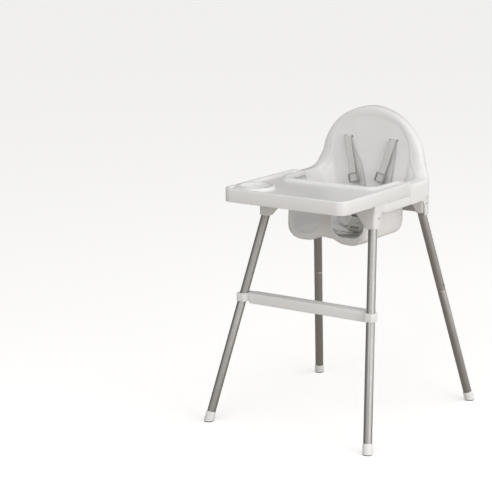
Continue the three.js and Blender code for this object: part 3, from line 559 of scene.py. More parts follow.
# Steps along half a row of the skin, and the guide rows of the crease and the outline.
FRONT, CORNER, SIDE, REAR_SIDE, FLARE, ARCH = 10, 12, 8, 8, 5, 5
ROW_STEPS, CREASE_ROW, OUTLINE_ROW = 5, 6, 9
FLARE_START = FRONT + CORNER + SIDE + 1 + REAR_SIDE
FLARE_END = FLARE_START + 4 * FLARE
FLOOR_SHARES = (0.2, 0.4, 0.6, 0.8)
HUB, ROOM_LID = (0, 12, 552), (0, 60, 735)
BEAD_R = 2.4


def straight(start, end, steps):
    """Points after the start, evenly along a line to the end."""
    start, shares = np.asarray(start), np.linspace(0, 1, steps + 1)[1:, None]
    return list(start + shares * (np.asarray(end, float) - start))


def arc(start, centre, begin, end, steps, end_z):
    """Points after the start, round a centre, rising to end_z."""
    radius = math.hypot(start[0] - centre[0], start[1] - centre[1])
    arms = round_corner(*centre, radius, begin, end, steps + 1)[1:]
    heights = np.linspace(start[2], end_z, steps + 1)[1:]
    return [np.array([x, y, z]) for (x, y), z in zip(arms, heights)]


def front_part(x, y, r, z, side_z=None):
    """From the front middle to the tray seam; the height may change round the corner."""
    side_z = z if side_z is None else side_z
    points = [np.array([0.0, y, z])]
    points += straight(points[-1], (x - r, y, z), FRONT)
    points += arc(points[-1], (x - r, y + r), -90, 0, CORNER, side_z)
    return points + straight(points[-1], (x, SEAM_Y + GAP, side_z), SIDE)


def bucket_rear(x, y, r, z):
    """From the tray seam round the rear corner to the rear middle."""
    points = [np.array([x, SEAM_Y + 2 * GAP, z])]
    points += straight(points[-1], (x, y - r, z), REAR_SIDE)
    points += arc(points[-1], (x - r, y - r), 0, 90, 4 * FLARE, z)
    return points + straight(points[-1], (0, y, z), 5 * ARCH)


def arch_rear(side, flare, arch):
    """Along the armrest, up round the flare and over the arch to the middle of the back."""
    points = [np.array([side[0], SEAM_Y + 2 * GAP, side[2]])]
    points += straight(points[-1], side, REAR_SIDE)
    points += list(spline([side, *flare], FLARE)[1:])
    # The curve runs on past the middle, so that it crosses it level.
    x, y, z = arch[-2]
    return points + list(spline([flare[-1], *arch, (-x, y, z)], ARCH)[1:5 * ARCH + 1])


def fade(low, high, values):
    """0 below low, 1 above high and smooth between them."""
    t = np.clip((values - low) / (high - low), 0, 1)
    return t * t * (3 - 2 * t)


def relief(points, amount):
    """Two hollows for the thighs with a low ridge between them."""
    points = np.array(points)
    share = amount * fade(-30, 80, -points[:, 1])
    across = np.abs(points[:, 0])
    ridge, hollow = np.exp(-((across / 20) ** 2)), np.exp(-(((across - 74) / 38) ** 4))
    points[:, 2] += share * (4 * ridge - 12 * hollow)
    return points


def seat_row(front, rear, amount):
    return relief(front_part(*front) + bucket_rear(*rear), amount)


def upright(y, *stops):
    return [(x, y, z) for x, z in stops]


def rim_rows():
    """Rows from the crease inside the rim to the lower edge of the skirt, half of each."""
    crease = np.array(front_part(168, -124, 42, RIM_Z) + arch_rear(
        (170, 104, ARM_Z),
        [(166, 132, 706), (154, 148, 720), (140, 153, 742), (134, 155, 762)],
        [(132, 156, 795), (118, 158, 828), (92, 160, 857), (48, 161, 874), (0, 161.5, 879)]))
    outline = np.array(front_part(RIM_X, -146, 60, RIM_Z - 7) + arch_rear(
        (ARM_X, 112, ARM_Z - 7),
        [(199.5, 148, 698), (192, 165, 706), (180, 172.5, 728), (170, 175.5, 757)],
        upright(BACK_Y, (162, 787), (142.5, 826), (104.5, 865), (54, 890.5), (0, TOP_Z))))
    skirt = np.array(front_part(ARM_X, -148.5, 62, SKIRT_Z + 14, SKIRT_Z) + arch_rear(
        (ARM_X, 112, SKIRT_Z),
        [(199.8, 150, 652), (194, 165, 672), (183.5, 175, 704), (171, 186, 745)],
        upright(REAR_Y, (159, 784), (140, 822), (104, 862), (54, 889), (0, TOP_Z - 1))))
    inner = np.array(front_part(RIM_X, -146, 60, LEDGE_Z) + arch_rear(
        (ARM_X, 112, LEDGE_Z + 5),
        [(199.6, 149, 677), (193, 165.5, 692), (182, 174, 718), (170.7, 179.5, 752)],
        upright(182, (159, 785), (140, 823), (104, 862), (54, 889.5), (0, TOP_Z - 0.3))))
    outer = inner + 0.4 * (skirt - inner)
    ledge = front_part(ARM_X, -148.5, 62, LEDGE_Z - 0.2)
    outer[:len(ledge)] = ledge
    # The way the rim faces: up along the arms, turning forwards up the backrest.
    turn = math.pi / 2 * fade(699, 752, outline[:, 2])
    facing = np.stack([0 * turn, -np.sin(turn), np.cos(turn)], 1)
    up = facing * ((crease - outline) * facing).sum(1)[:, None]
    out = outline - crease + up
    rolled = []
    for share, flare in ((0.35, [(186.5, 137, 706.5), (177.5, 150.5, 718.5), (166.5, 155, 738)]),
                         (0.7, [(196.8, 142, 703.5), (189.5, 157.5, 713), (178, 162, 736)])):
        angle = share * math.pi / 2
        row = crease - up + up * math.cos(angle) ** 0.45 + out * math.sin(angle) ** 0.8
        # Round the flare, where the rim turns to face forwards, the row runs through given stops.
        row[FLARE_START:FLARE_END + 1] = spline([row[FLARE_START], *flare, row[FLARE_END]], FLARE)
        rolled.append(row)
    return crease, rolled, outline, inner, outer, skirt, facing


def shell_rows():
    crease, rolled, outline, inner, outer, skirt, facing = rim_rows()
    wall = seat_row((134, -96, 24, 640), (134, 137, 34, 640), 0)
    arched = -facing[:, 1]
    shares = np.stack([0.22 + 0.25 * arched, 0.25 + 0.55 * arched, 0.5 + 0 * arched], 1)
    rows = [
        seat_row((52, -46, 22, 548), (52, 78, 24, 548), 1),
        seat_row((96, -80, 26, 547), (96, 102, 34, 547), 1),
        seat_row((125, -91, 24, 548, 549.5), (125, 126, 36, 549.5), 1),
        seat_row((132.5, FRONT_Y, 22, 551.5, 566), (132.5, 135, 34, 566), 0.8),
        wall, wall + shares * (crease - wall), crease, *rolled, outline, inner, outer, skirt,
    ]
    return np.array(rows)


def mirrored(row):
    """Half a row and its mirror image, once round the skin."""
    left = row[1:-1][::-1] * (-1, 1, 1)
    return np.vstack([row, left])


def skin(grid, hub):
    """Points, faces and upward normals of a closed skin with a hub in its middle."""
    rows, count = grid.shape[:2]
    points = np.vstack([grid.reshape(-1, 3), [hub]])
    last = (rows - 1) * count
    faces = [(k + i, k + count + i, k + count + j, k + j)
             for k in range(0, last, count) for i, j in around(count)]
    faces += [(rows * count, i, j) for i, j in around(count)]
    mesh = bpy.data.meshes.new("normals")
    mesh.from_pydata([tuple(p) for p in points], [], faces)
    normals = np.zeros(len(points) * 3)
    mesh.vertex_normals.foreach_get("vector", normals)
    bpy.data.meshes.remove(mesh)
    normals = normals.reshape(-1, 3)
    return points, faces, normals * np.sign(normals[-1][2])


FOLD = (5.55, 5.7, 5.85, 5.93, 5.98, 6.06, 6.12)
FOLD_DEPTH = 1.9


def fine_rows():
    """All rows of the skin, with finer ones between the guide rows."""
    guide = shell_rows()
    columns = guide[:OUTLINE_ROW + 1].transpose(1, 0, 2)
    soft = np.stack([spline(column, ROW_STEPS, FOLD) for column in columns], 1)
    # The inner panel lies a little lower than the rim: a shallow fold runs along the crease.
    even = {k / ROW_STEPS for k in range(OUTLINE_ROW * ROW_STEPS + 1)}
    stations = np.array(sorted(even | set(FOLD)))
    depth = FOLD_DEPTH * fade(4.9, 5.85, stations) * (1 - fade(5.85, 6.0, stations))
    count = len(guide[0])
    whole = np.array([mirrored(row) for row in soft])
    normals = skin(whole, whole[0].mean(0))[2][:-1].reshape(whole.shape)
    soft = soft - normals[:, :count] * depth[:, None, None]
    outline, inner, outer, skirt = guide[OUTLINE_ROW:]
    hard = [outline + (inner - outline) * 0.5, inner, outer, outer + (skirt - outer) * 0.5, skirt]
    floor = []
    for share in FLOOR_SHARES:
        ring = guide[0] * (share, share, 0) + (0, 12 * (1 - share), 548)
        floor.append(relief(ring, 1))
    return np.array([*floor, *soft, *hard])


def skin_solid(grid, hub, thickness):
    """A wall of even thickness under a skin, with a rounded free edge."""
    rows, count = grid.shape[:2]
    points, faces, normals = skin(grid, hub)
    size = len(points)
    under = points - normals * thickness
    all_points = [points, under]
    all_faces = faces + [tuple(i + size for i in reversed(face)) for face in faces]
    top = [(rows - 1) * count + i for i in range(count)]
    edge_out = points[top] - points[[t - count for t in top]]
    edge_out /= np.linalg.norm(edge_out, axis=1)[:, None]
    loops = [top]
    start = 2 * size
    for angle in np.radians((45, 90, 135)):
        middle = (points[top] + under[top]) / 2 + (points[top] - under[top]) / 2 * math.cos(angle)
        all_points.append(middle + edge_out * thickness / 2 * (math.sin(angle) - 1))
        loops.append([start + i for i in range(count)])
        start += count
    loops.append([t + size for t in top])
    all_points[0][top] -= edge_out * thickness / 2
    all_points[1][top] -= edge_out * thickness / 2
    for near, far in zip(loops, loops[1:]):
        all_faces += [(near[i], far[i], far[j], near[j]) for i, j in around(count)]
    return new_object(np.vstack(all_points), all_faces)


def bucket_room(grid, hub):
    """The room inside the bucket, up to the crease and halfway into the wall."""
    count = grid.shape[1]
    points, faces, normals = skin(grid, hub)
    points = points - normals * WALL / 2
    last = (grid.shape[0] - 1) * count
    lid = len(points)
    faces = faces + [(lid, last + j, last + i) for i, j in around(count)]
    return new_object(np.vstack([points, [ROOM_LID]]), faces)


def leg_point(sx, sy, z):
    """The point of a leg's axis at height z; sx and sy are -1 or 1."""
    share = (LEG_TOP[2] - z) / LEG_TOP[2]
    x, y = (top + (foot - top) * share for top, foot in zip(LEG_TOP, LEG_FOOT))
    return Vector((sx * x, LEG_Y + sy * y, z))


def leg_frame(sx, sy, z):
    """A leg's own frame: +Z up its axis and +X outwards, at a point of the axis."""
    up = (leg_point(sx, sy, LEG_TOP[2]) - leg_point(sx, sy, 0)).normalized()
    out = (Vector((sx, 0, 0)) - up * sx * up.x).normalized()
    return framed((out, up.cross(out), up), leg_point(sx, sy, z))


STRETCH = (leg_point(1, 1, 0) - leg_point(1, 1, LEG_TOP[2])).length / LEG_TOP[2]


def socket(sx, sy):
    """A sleeve round the tube that widens upwards into the armrest."""
    outer = RIM_X if sy < 0 else ARM_X
    front = leg_point(sx, sy, MOUTH_Z).y - 15
    rings = []
    levels = [(MOUTH_Z, 1.6), (MOUTH_Z + 0.5, 0.7), (MOUTH_Z + 1.6, 0)]
    levels += [(z, 0) for z in np.linspace(MOUTH_Z + 5, 674, 14)]
    for z, inset in levels:
        rise = (z - MOUTH_Z) / 73
        axis = leg_point(1, sy, z)
        half = 15 + 3 * rise - inset
        web = 3 + 47 * rise ** 1.1 if sy < 0 else 14 * rise ** 1.3
        share = min(1.0, rise * 1.2)
        x1 = (axis.x + half) * (1 - share) + (outer - 0.1) * share
        y0 = front - 2 * rise + inset if sy < 0 else axis.y - half
        ring = round_rect(axis.x - half - web, x1, y0, axis.y + half, 10 - 5 * rise, z)
        rings.append(ring if sx > 0 else (ring * (-1, 1, 1))[::-1])
    return loft(rings)


def apron():
    """The wall round the rear corners and between the rear sockets."""
    rings = []
    for z, inset in ((596, 1.2), (596.5, 0.4), (597.4, 0), (675, 0),
                     (682, 0.4), (689, 2), (694, 4.4), (697, 7)):
        rings.append(round_rect(-ARM_X + inset, ARM_X - inset, 96, BACK_Y - inset / 4, 30, z, 14))
    wall = loft(rings)
    inner = pillow(-ARM_X + WALL, ARM_X - WALL, 60, BACK_Y - WALL, 590, 682, 26.8, 2, 14)
    # The lower edge of its sides rises in a curve from the rear to the skirt.
    arch = [(60, 590), (60, SKIRT_Z), (112, SKIRT_Z)]
    for w in np.linspace(0, 1, 12)[1:]:
        arch.append((bent(112, 128, 132, w), bent(SKIRT_Z, SKIRT_Z, 622, w)))
    arch.append((135, 590))
    rings = [[(x, y, z) for y, z in arch] for x in (-ARM_X - 10, ARM_X + 10)]
    return cut(wall, inner, loft(rings))


def lower_back():
    """Outer and inner solids of the wall from the apron up into the backrest."""
    def stack(levels):
        fine = spline(levels, 5)
        return loft([round_rect(-x, x, front, back, 6, z) for z, x, front, back in fine])
    outer = stack([(688, 186, 148, 175), (706, 181, 153, 179), (722, 176, 157, 182),
                   (738, 170, 159, 184), (756, 160, 160, 173)])
    inner = stack([(660, 178, 130, 172.3), (690, 180, 130, 172.3), (706, 176, 140, 175),
                   (734, 165, 145, 179.5)])
    return outer, inner


OPENING_X, OPENING_Z, OPENING_R, OPENING_CUT = (20.0, 126.0), (552.0, 682.0), 38.0, 6


def opening_outline(side, inset=0.0):
    """A leg opening in x and z, from its top left corner round the bottom."""
    a, b = OPENING_X if side > 0 else (-OPENING_X[1], -OPENING_X[0])
    a, b, r = a + inset, b - inset, OPENING_R - inset
    low, high = OPENING_Z[0] + inset, OPENING_Z[1] - inset
    outline = [(a, high - OPENING_CUT)]
    outline += round_corner(a + r, low + r, r, 180, 270, 15)
    outline += round_corner(b - r, low + r, r, 270, 360, 15)
    return outline + [(b, high - OPENING_CUT), (b - OPENING_CUT, high), (a + OPENING_CUT, high)]


def slot_tools(x, y0, y1):
    """A shoulder slot with an eye at each end."""
    along = turned("X", -90, (0, y0, SHOULDER_Z))
    tools = [block(x - 12, x + 12, y0, y1, SHOULDER_Z - 2.6, SHOULDER_Z + 2.6)]
    for end in (x - 12, x + 12):
        tools.append(moved(rod(3.2, 0, y1 - y0, 24), Matrix.Translation((end, 0, 0)) @ along))
    return tools


def leg_bead(tree, side):
    """A rounded rim along the edge of a leg opening."""
    path = []
    outline = opening_outline(side, 0.2)
    dense = [outline[0]]
    for start, end in zip(outline, outline[1:-2]):
        steps = max(1, int(math.dist(start, end) / 5))
        way = np.subtract(end, start)
        dense += [tuple(np.add(start, way * k / steps)) for k in range(1, steps + 1)]
    for x, z in dense:
        hit = tree.ray_cast(Vector((x, -70, z)) * MM, Vector((0, -1, 0)))[0]
        if hit and z < OPENING_Z[1] - 12:
            path.append((x, hit.y / MM - WALL / 2, z))
    return bead(path, BEAD_R)


def build_shell():
    grid = np.array([mirrored(row) for row in fine_rows()])
    body = skin_solid(grid, HUB, WALL)
    points = np.array([tuple(v.co) for v in body.data.vertices])
    faces = [tuple(p.vertices) for p in body.data.polygons]
    tree = BVHTree.FromPolygons([Vector(p) for p in points], faces)
    outer, hollow = lower_back()
    supports = cut(join(apron(), outer), hollow)
    quadrants = [(sx, sy) for sx in (-1, 1) for sy in (-1, 1)]
    supports = join(supports, *[socket(sx, sy) for sx, sy in quadrants])
    crease_row = len(FLOOR_SHARES) + CREASE_ROW * ROW_STEPS + sum(at < CREASE_ROW for at in FOLD)
    supports = cut(supports, bucket_room(grid[:crease_row + 1], HUB))
    body = join(body, supports)
    bores = []
    for sx, sy in quadrants:
        top = (TUBE_TOP_Z - MOUTH_Z) * STRETCH + 1.5
        bores.append(moved(rod(TUBE_R + GAP, -20, top, 56), leg_frame(sx, sy, MOUTH_Z)))
        hole = moved(rod(BUTTON_HOLE_R, 0, 34, 24), turned("Y", 90))
        bores.append(moved(hole, leg_frame(sx, sy, BUTTON_Z)))
    openings = [plate(opening_outline(s), FRONT_Y - 50, FRONT_Y + 24) for s in (1, -1)]
    slots = [tool for x in (-SHOULDER_X, SHOULDER_X) for tool in slot_tools(x, 140, 180)]
    slots += [block(x - 15, x + 15, 122, 150, WAIST_Z - 3, WAIST_Z + 3)
              for x in (-WAIST_X, WAIST_X)]
    slots.append(block(-15, 15, -61, -55, 530, 565))
    cut(body, *bores, *openings, *slots)
    join(body, *[leg_bead(tree, side) for side in (-1, 1)])
    # A parting groove runs down each side, from the tray's end to the apron's edge.
    cut(body, *[block(*sorted((s * 198.4, s * 210)), SEAM_Y - 0.4, SEAM_Y + 1.2, SKIRT_Z - 5, 701)
                for s, _ in SIDES])
    present(body, SHELL, "seat_shell_skin", "seat", "shell_plastic", "seat_shell")


# ---- tray ----
TRAY_X, TRAY_FRONT, TRAY_BELLY, WING_X = 201.5, -330.5, -86.0, 151.0
TRAY_TOP, TRAY_SKIRT, TRAY_FLOOR = 709.0, 670.0, 700.0
TRAY_BACK = SEAM_Y - 0.8
CUP_X, CUP_Y, CUP_R = -143.0, -245.0, 43.0


def tray_outline(inset, z):
    """The tray's outline moved inwards: a board with two wings."""
    right, near, inner = TRAY_X - inset, TRAY_FRONT + inset, WING_X + inset
    back, belly = TRAY_BACK - inset, TRAY_BELLY - inset
    big, small, tip = 30 - min(inset, 10), 22 + min(inset, 10), max(0.4, min(inset, 3))
    half = round_corner(right - big, near + big, big, -90, 0, 14)
    half += round_corner(right - tip, back - tip, tip, 0, 90, 4)
    half += round_corner(inner + tip, back - tip, tip, 90, 180, 4)
    half += round_corner(inner - small, belly + small, small, 0, -90, 12)
    half = np.array([(x, y, z) for x, y in half])
    return np.vstack([half, half[::-1] * (-1, 1, 1)])


def tray_body(profile):
    """A solid between tray outlines, one for each (inset, z)."""
    return loft([tray_outline(inset, z) for inset, z in profile])


def at_cup(profile):
    return moved(lathe(profile, 96), Matrix.Translation((CUP_X, CUP_Y, 0)))


def build_tray():
    under = TRAY_FLOOR - WALL
    body = tray_body([
        (1.0, TRAY_SKIRT), (0.3, TRAY_SKIRT + 0.3), (0, TRAY_SKIRT + 1), (0, 704.5), (0.25, 706.2),
        (0.9, 707.6), (2.0, 708.5), (3.6, TRAY_TOP)])
    recess = tray_body([
        (16, TRAY_FLOOR), (13.8, 700.35), (12.2, 701.4), (11.1, 703.2), (10.2, 706.0), (9.4, 707.7),
        (8.4, 708.6), (7.2, TRAY_TOP), (7.2, TRAY_TOP + 6)])
    land = at_cup([
        (0, 690), (60, 690), (60, 699.9), (58.2, 700.2), (56.8, 701.0), (55.9, 702.6), (55.2, 706),
        (54.5, 707.8), (53.5, 708.7), (52.2, TRAY_TOP), (52.2, 716), (0, 716)])
    cut(recess, land)
    hollow = tray_body([
        (WALL, TRAY_SKIRT - 5), (WALL, under - 2), (WALL + 0.6, under - 0.6), (WALL + 2, under)])
    cup_wall = CUP_R + WALL
    cut(hollow, at_cup([(0, 660), (cup_wall, 660), (cup_wall, 700), (0, 700)]))
    cup = at_cup([
        (0, 684.8), (CUP_R + 0.6, 684.8), (CUP_R + 2.4, 685.4),
        (cup_wall, 687), (cup_wall, 698), (0, 698)])
    join(body, cup)
    inside = TRAY_X - WALL
    notch = block(-inside, inside, TRAY_BELLY - 75, SEAM_Y + 10, TRAY_SKIRT - 5, under)
    well = at_cup([
        (0, 688), (38.5, 688), (40.8, 688.4), (42.2, 689.8), (42.8, 692), (CUP_R, 704),
        (43.5, 706.6), (44.6, 708.2), (46.2, TRAY_TOP), (46.2, 716), (0, 716)])
    cut(body, recess, hollow, notch, well)
    present(body, TRAY, "tray_skin", "tray", "tray_plastic", "tray", 30)


# ---- footrest ----
JOINT_Z = (352, 360)  # where a front and a rear leg come apart
JOINT_BUTTON = 15  # along the tube, above that joint


def build_footrest():
    end, y0, y1, z0, z1 = 195.0, -203.0, -165.5, 347.0, 377.0
    board = pillow(-end, end, y0, y1, z0, z1, 4.5, 2.2, 7, 4)
    room = pillow(-end + WALL, end - WALL, y0 + WALL, y1 - WALL, z0 - 6, z1 - WALL, 2.5, 1.2, 6)
    cut(board, room)
    join(board, *[block(x - 1.2, x + 1.2, y0 + 2, y1 - 2, z0 + 4, z1 - 1)
                  for x in (-120, -60, 0, 60, 120)])
    present(board, SHELL, "footrest_board_skin", "seat", "shell_plastic", "footrest_board")
    half, low, high = 16.5, 352.0, 376.0
    middle = (low + high) / 2
    for side, tag in SIDES:
        axis = leg_point(side, -1, middle)
        ring = pillow(axis.x - half, axis.x + half, axis.y - half, axis.y + half,
                      low, high, 10, 1.6, 10, 4)
        reach = sorted((side * (end + 0.5), axis.x))
        lug = pillow(*reach, axis.y, y1 - 3, low, high, 3, 1.2)
        join(ring, lug)
        bore = moved(rod(TUBE_R + GAP, -40, 40, 56), leg_frame(side, -1, middle))
        hole = moved(rod(BUTTON_HOLE_R, 0, 40, 24), turned("X", -90))
        at_button = leg_frame(side, -1, JOINT_Z[0] + JOINT_BUTTON / STRETCH)
        moved(hole, at_button @ turned("Z", 0 if side > 0 else 180))
        clear = block(-end - 0.5, end + 0.5, y0 - 30, y1 + 30, low - 5, high + 5)
        cut(ring, bore, hole, clear)
        node = "footrest_sleeve_" + tag
        present(ring, CAPS, "footrest_sleeve_skin_" + tag, "seat", "cap_plastic", node)


# ---- legs ----
TUBE_BORE, NECK_BORE, NECK_R = 11.4, 10.05, 11.15
CAP_R, CAP_FLOOR = 14.25, 2.4


def button_hole(turn, z):
    hole = rod(BUTTON_HOLE_R, 2, 24, 24)
    return moved(hole, turned("Z", turn, (0, 0, z)) @ turned("Y", 90))


def leaf_spring(bore):
    """A bent leaf with two arms; the button stands on the +X arm."""
    reach, thick, bend = bore - 0.5, 0.8, -34.0

    def half(offset):
        out, turn_r = reach - offset, 3 - offset
        arm = [(out, 6), (out, -6)]
        for w in np.linspace(0, 1, 9)[1:]:
            arm.append((bent(out, out - 2, turn_r, w), bent(-6, -20, bend, w)))
        arm += round_corner(0, bend, turn_r, 0, -180, 13)[1:]
        return arm + [(-px, pz) for px, pz in reversed(arm[:10])][1:]
    return plate(half(0) + half(thick)[::-1], -3, 3)


def snap_button(bore, tip):
    start = bore - 0.5 + GAP
    profile = [(0, start), (3, start), (3, tip - 2.6), (2.85, tip - 1.7), (2.4, tip - 0.9),
               (1.5, tip - 0.25), (0, tip)]
    return moved(lathe(profile, 32), turned("Y", 90))


def own_axis(obj, frame):
    """Keeps each point's place in a leg's frame, in metres, for the drawn finish."""
    back = frame.inverted()
    layer = obj.data.attributes.new("own_axis", "FLOAT_VECTOR", "POINT")
    places = [c * MM for v in obj.data.vertices for c in back @ (v.co / MM)]
    layer.data.foreach_set("vector", places)


def build_leg(tag, sx, sy):
    joint_z = JOINT_Z[0] if sy < 0 else JOINT_Z[1]
    turn = 0 if sy > 0 else (90 if sx > 0 else -90)
    top, button, joint, foot = (leg_frame(sx, sy, z) for z in (TUBE_TOP_Z, BUTTON_Z, joint_z, 0))
    length = (TUBE_TOP_Z - joint_z) * STRETCH
    upper = lathe([
        (TUBE_BORE, -length + 0.4), (TUBE_BORE + 0.4, -length), (TUBE_R - 0.5, -length),
        (TUBE_R, -length + 0.5), (TUBE_R, -0.5), (TUBE_R - 0.4, 0), (TUBE_BORE, 0)], 72)
    upper_hole = button_hole(0, -(TUBE_TOP_Z - BUTTON_Z) * STRETCH)
    cut(upper, upper_hole, button_hole(turn, -length + JOINT_BUTTON))
    low = -(joint_z * STRETCH - 10)
    lower = lathe([
        (NECK_BORE, 60), (NECK_BORE, -4.5), (TUBE_BORE, -8.5), (TUBE_BORE, low), (TUBE_R, low),
        (TUBE_R, -3.2), (TUBE_R - 0.15, -2.6), (TUBE_R - 0.6, -1.6), (NECK_R + 0.3, -0.8),
        (NECK_R, -0.5), (NECK_R, 59.4), (NECK_R - 0.5, 60)], 72)
    cut(lower, button_hole(turn, JOINT_BUTTON))
    spin = joint @ turned("Z", turn, (0, 0, JOINT_BUTTON))
    cap = lathe([
        (0, -12), (CAP_R, -12), (CAP_R, 27.4), (14.0, 28.6), (13.3, 29.6), (12.9, 30), (0, 30)], 72)
    x, y = foot.translation.xy
    slabs = [block(x - 60, x + 60, y - 60, y + 60, *z)
             for z in ((-40, CAP_FLOOR + GAP), (-50, 0), (CAP_FLOOR, 50))]
    moved(cap, foot)
    cut(cap, moved(rod(TUBE_R + GAP, 9.5, 40, 56), foot), slabs[0])
    pad = moved(rod(CAP_R - 1, -20, 20, 56), foot)
    cut(pad, slabs[1], slabs[2])
    socket_spring = moved(leaf_spring(TUBE_BORE), button)
    socket_button = moved(snap_button(TUBE_BORE, TUBE_R + 3.4), button)
    joint_spring = moved(leaf_spring(NECK_BORE), spin)
    joint_button = moved(snap_button(NECK_BORE, TUBE_R + 2.2), spin)
    pieces = [
        (moved(upper, top), SHADED_STEEL, "upper_tube_", "upper_leg_", "tube_steel"),
        (socket_spring, SPRING, "socket_spring_", "upper_leg_", "spring_steel"),
        (socket_button, HOLE_SHADED_BUTTON, "socket_button_", "socket_button_", "tube_steel"),
        (moved(lower, joint), SHADED_STEEL, "lower_tube_", "lower_leg_", "tube_steel"),
        (joint_spring, SPRING, "joint_spring_", "lower_leg_", "spring_steel"),
        (joint_button, HOLE_SHADED_BUTTON, "joint_button_", "joint_button_", "tube_steel"),
        (cap, CAPS, "foot_cap_", "lower_leg_", "cap_plastic"),
        (pad, RUBBER, "foot_pad_", "lower_leg_", "foot_rubber"),
    ]
    # The leaf springs hide the parts they stand for and are baked in place, on no body.
    pressed = {
        "socket_spring_": ("socket_button_", button), "joint_spring_": ("joint_button_", spin)}
    for obj, material, node, body, slot in pieces:
        finish_mesh(obj, material, 32)
        own_axis(obj, top)
        obj.name = node + "skin_" + tag
        if node in pressed:
            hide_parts(node + tag)
            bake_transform(obj)
        else:
            show(obj, obj.name, body + tag, slot, node + tag)


# ---- harness ----
WEB_WIDTH, WEB_THICK = 22.0, 1.5


def strap(name, stops):
    """Flat webbing swept through the stops, with its width across the chair."""
    path = spline(stops, 10)
    count = len(path)
    gaps = np.linalg.norm(np.diff(path, axis=0), axis=1)
    run = np.concatenate([[0], np.cumsum(gaps)])
    tangent = np.gradient(path, axis=0)
    tangent /= np.linalg.norm(tangent, axis=1)[:, None]
    wide = np.tile((1.0, 0.0, 0.0), (count, 1))
    wide -= tangent * (wide * tangent).sum(1)[:, None]
    wide /= np.linalg.norm(wide, axis=1)[:, None]
    thin = np.cross(tangent, wide)
    shares = np.linspace(-1, 1, 13)
    half = WEB_THICK / 2 * (0.35 + 0.65 * (1 - shares ** 8))
    section = [*zip(shares, half), *zip(shares[::-1], -half)]
    rings = [[path[i] + wide[i] * a * WEB_WIDTH / 2 + thin[i] * h for a, h in section]
             for i in range(count)]
    obj = loft(rings)
    for key, values in (("across", [(a + 1) / 2 for _ in range(count) for a, _ in section]),
                        ("run", [run[i] * MM for i in range(count) for _ in section])):
        layer = obj.data.attributes.new(key, "FLOAT", "POINT")
        layer.data.foreach_set("value", values)
    obj.data.materials.append(WEB)
    obj.data.shade_smooth()
    obj.data.set_sharp_from_angle(angle=math.radians(50))
    show(obj, name + "_web", "seat", "webbing", name)


BUCKLE_AT, BUCKLE_TILT = (52, -4, 576), 44
LOOP_X = 16.8


def in_buckle(x, y, z):
    """A point given in the tilted buckle's own frame."""
    return tuple(turned("X", BUCKLE_TILT, BUCKLE_AT) @ Vector((x, y, z)))


def through_loop(side, y):
    """The last stops of a strap, down through the loop of a tongue."""
    return [in_buckle(side * LOOP_X, y, -12), in_buckle(side * LOOP_X, y, 6)]


# The straight stretch of each shoulder strap, from its bend below the slot to its free end.
BENDS = {-1: ((-75.4, 150.6, 797), (-38, 127, 673)), 1: ((75.6, 150.6, 797), (45, 127.5, 681))}


def slider_frame(side):
    """The slider's +Y runs up the straight stretch of its strap."""
    bend, end = (Vector(p) for p in BENDS[side])
    up = (bend - end).normalized()
    wide = (Vector((1, 0, 0)) - up * up.x).normalized()
    return framed((wide, up, wide.cross(up)), end + up * 14)


def build_sliders():
    for side, tag in SIDES:
        frame = pillow(-16.5, 16.5, -14, 14, -2.8, 2.8, 3.5, 1.3, 6)
        cut(frame, pillow(-13.4, 13.4, -10.8, 10.8, -6, 6, 1.6, 0.4, 4))
        join(frame, pillow(-14, 14, -2.4, 2.4, -2.8, -1.4, 0.8, 0.6, 4))
        cut(frame, block(-13.4, 13.4, -20, 20, -1.4, 1.4))
        moved(frame, slider_frame(side))
        node = "slider_" + tag
        present(frame, GREY, "slider_skin_" + tag, node, "buckle_plastic", node)


def build_buckle():
    place_at = turned("X", BUCKLE_TILT, BUCKLE_AT)
    body = pillow(-26, 26, -23, 23, -7, 7, 8, 3.6, 8, 5)
    button_room = lathe([(0, 1), (8.4, 1), (8.4, 6.2), (9.2, 7.2), (9.2, 20), (0, 20)], 48)
    mouth = pillow(-23, 23, 5, 25, -1.6, 1.6, 1.5, 0.5)
    strap_room = pillow(-14, 14, -19, -12, -20, 20, 1.5, 0.5)
    grips = [pillow(*x, -8, 4, -4, 4, 2.5, 1.5) for x in ((-30, -22.5), (22.5, 30))]
    cut(body, mouth, strap_room, moved(button_room, Matrix.Translation((0, 7, 0))), *grips)
    button = lathe([
        (0, 5), (8, 5), (8, 7.2), (7.6, 7.8), (6.8, 8.15), (5.6, 8.05), (3.5, 7.7), (0, 7.6)], 48)
    moved(button, Matrix.Translation((0, 7, 0)))
    pieces = [(body, "buckle_body", "seat"), (button, "buckle_button", "buckle_button")]
    for side, tag in SIDES:
        loop = pillow(LOOP_X - 16, LOOP_X + 16, 26, 43, -1.2, 1.2, 5, 0.8, 8)
        join(loop, pillow(1.2, 22.2, 6, 28, -1.2, 1.2, 1, 0.6))
        cut(loop, pillow(LOOP_X - 13.6, LOOP_X + 13.6, 30, 39, -3, 3, 2, 0.2))
        if side < 0:
            moved(loop, turned("Y", 180))
        pieces.append((loop, "tongue_" + tag, "seat"))
    for obj, node, ride_on in pieces:
        moved(obj, place_at)
        material = DARK if "tongue" in node else PALE
        present(obj, material, node + "_skin", ride_on, "buckle_plastic", node)


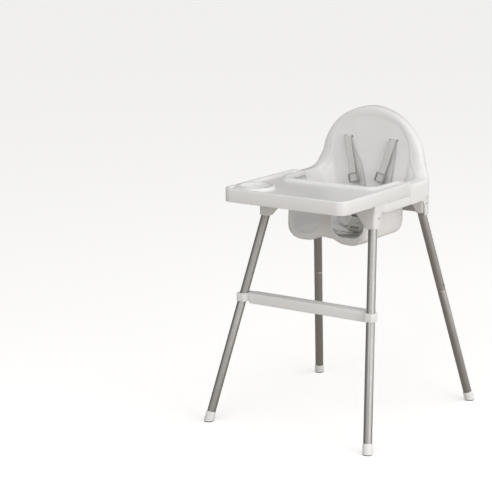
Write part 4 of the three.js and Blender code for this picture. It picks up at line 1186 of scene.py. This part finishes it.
def build_anchors():
    """Slotted plates that keep the straps from pulling out of the shell."""
    places = []
    for kind, x, y, z, half in (("shoulder", SHOULDER_X, 167, SHOULDER_Z, 2.5),
                                ("waist", WAIST_X, 148, WAIST_Z, 1.5)):
        for side, tag in SIDES:
            places.append((kind + "_anchor_" + tag, (side * x, y, z), turned("X", 90), half))
    places.append(("crotch_anchor", (0, -58, 541.7), Matrix(), 1.5))
    for node, spot, turn, half in places:
        anchor = pillow(-19, 19, -7, 7, -1.5, 1.5, 3.5, 0.7, 6)
        cut(anchor, pillow(-13.2, 13.2, -half, half, -4, 4, 0.8, 0.2))
        moved(anchor, Matrix.Translation(spot) @ turn)
        pale = node == "crotch_anchor"
        present(anchor, SHELL if pale else DARK, node + "_skin", "seat",
                "shell_plastic" if pale else "buckle_plastic", node)


def build_straps():
    strap("shoulder_strap_left", [
        (-77, 172, 805.7), (-77, 157, 805.7), (-76.6, 152.7, 803.5), *BENDS[-1]])
    strap("shoulder_strap_right", [
        (77, 172, 805.7), (77, 157, 805.7), (76.8, 152.7, 803.5), *BENDS[1]])
    strap("shoulder_return_left", [
        (-77, 172, 803.3), (-77, 156.4, 803.3), (-76.4, 154.4, 799.4), (-73, 153.6, 789),
        (-58, 152, 760), (-43, 150, 736), (-24, 142, 693), (-11, 133, 648), (4, 98, 615),
        (26, 58, 602), *through_loop(-1, 37)])
    strap("shoulder_return_right", [
        (77, 172, 803.3), (77, 156.4, 803.3), (76.8, 154.4, 799.4), (76.4, 153.6, 789),
        (75, 152, 764), (73, 150, 738), (70, 142, 695), (66, 133, 650), (66, 98, 616),
        (67, 58, 602), *through_loop(1, 37)])
    strap("waist_strap_left", [
        (-92, 153, 606), (-92, 136, 606), (-89, 126, 602), (-66, 100, 574), (-28, 70, 556),
        (8, 56, 560), *through_loop(-1, 33)])
    strap("waist_strap_right", [
        (92, 153, 606), (92, 136, 606), (92, 127, 602), (88, 104, 577), (80, 74, 558),
        (73, 54, 566), *through_loop(1, 33)])
    strap("crotch_strap", [
        (0, -58, 538), (0, -58, 553), (8, -54, 561), (32, -34, 557), (47, -15, 552),
        in_buckle(0, -15.5, -13), in_buckle(0, -15.5, -3), in_buckle(0, -15.5, 9)])


# ---- the scene ----
FLOOR_REACH = 40000


def build_floor():
    r = FLOOR_REACH
    floor = new_object([(-r, -r, 0), (r, -r, 0), (r, r, 0), (-r, r, 0)], [(0, 1, 2, 3)])
    floor.name = "floor"
    floor.data.materials.append(floor_paint("floor", (0.95, 0.945, 0.935), (0.50, 0.46, 0.42)))


build_camera()
build_light()
build_floor()
build_shell()
build_tray()
build_footrest()
for row_name, side_y in (("front", -1), ("rear", 1)):
    for side_x, side_name in SIDES:
        build_leg(row_name + "_" + side_name, side_x, side_y)
build_straps()
build_sliders()
build_buckle()
build_anchors()
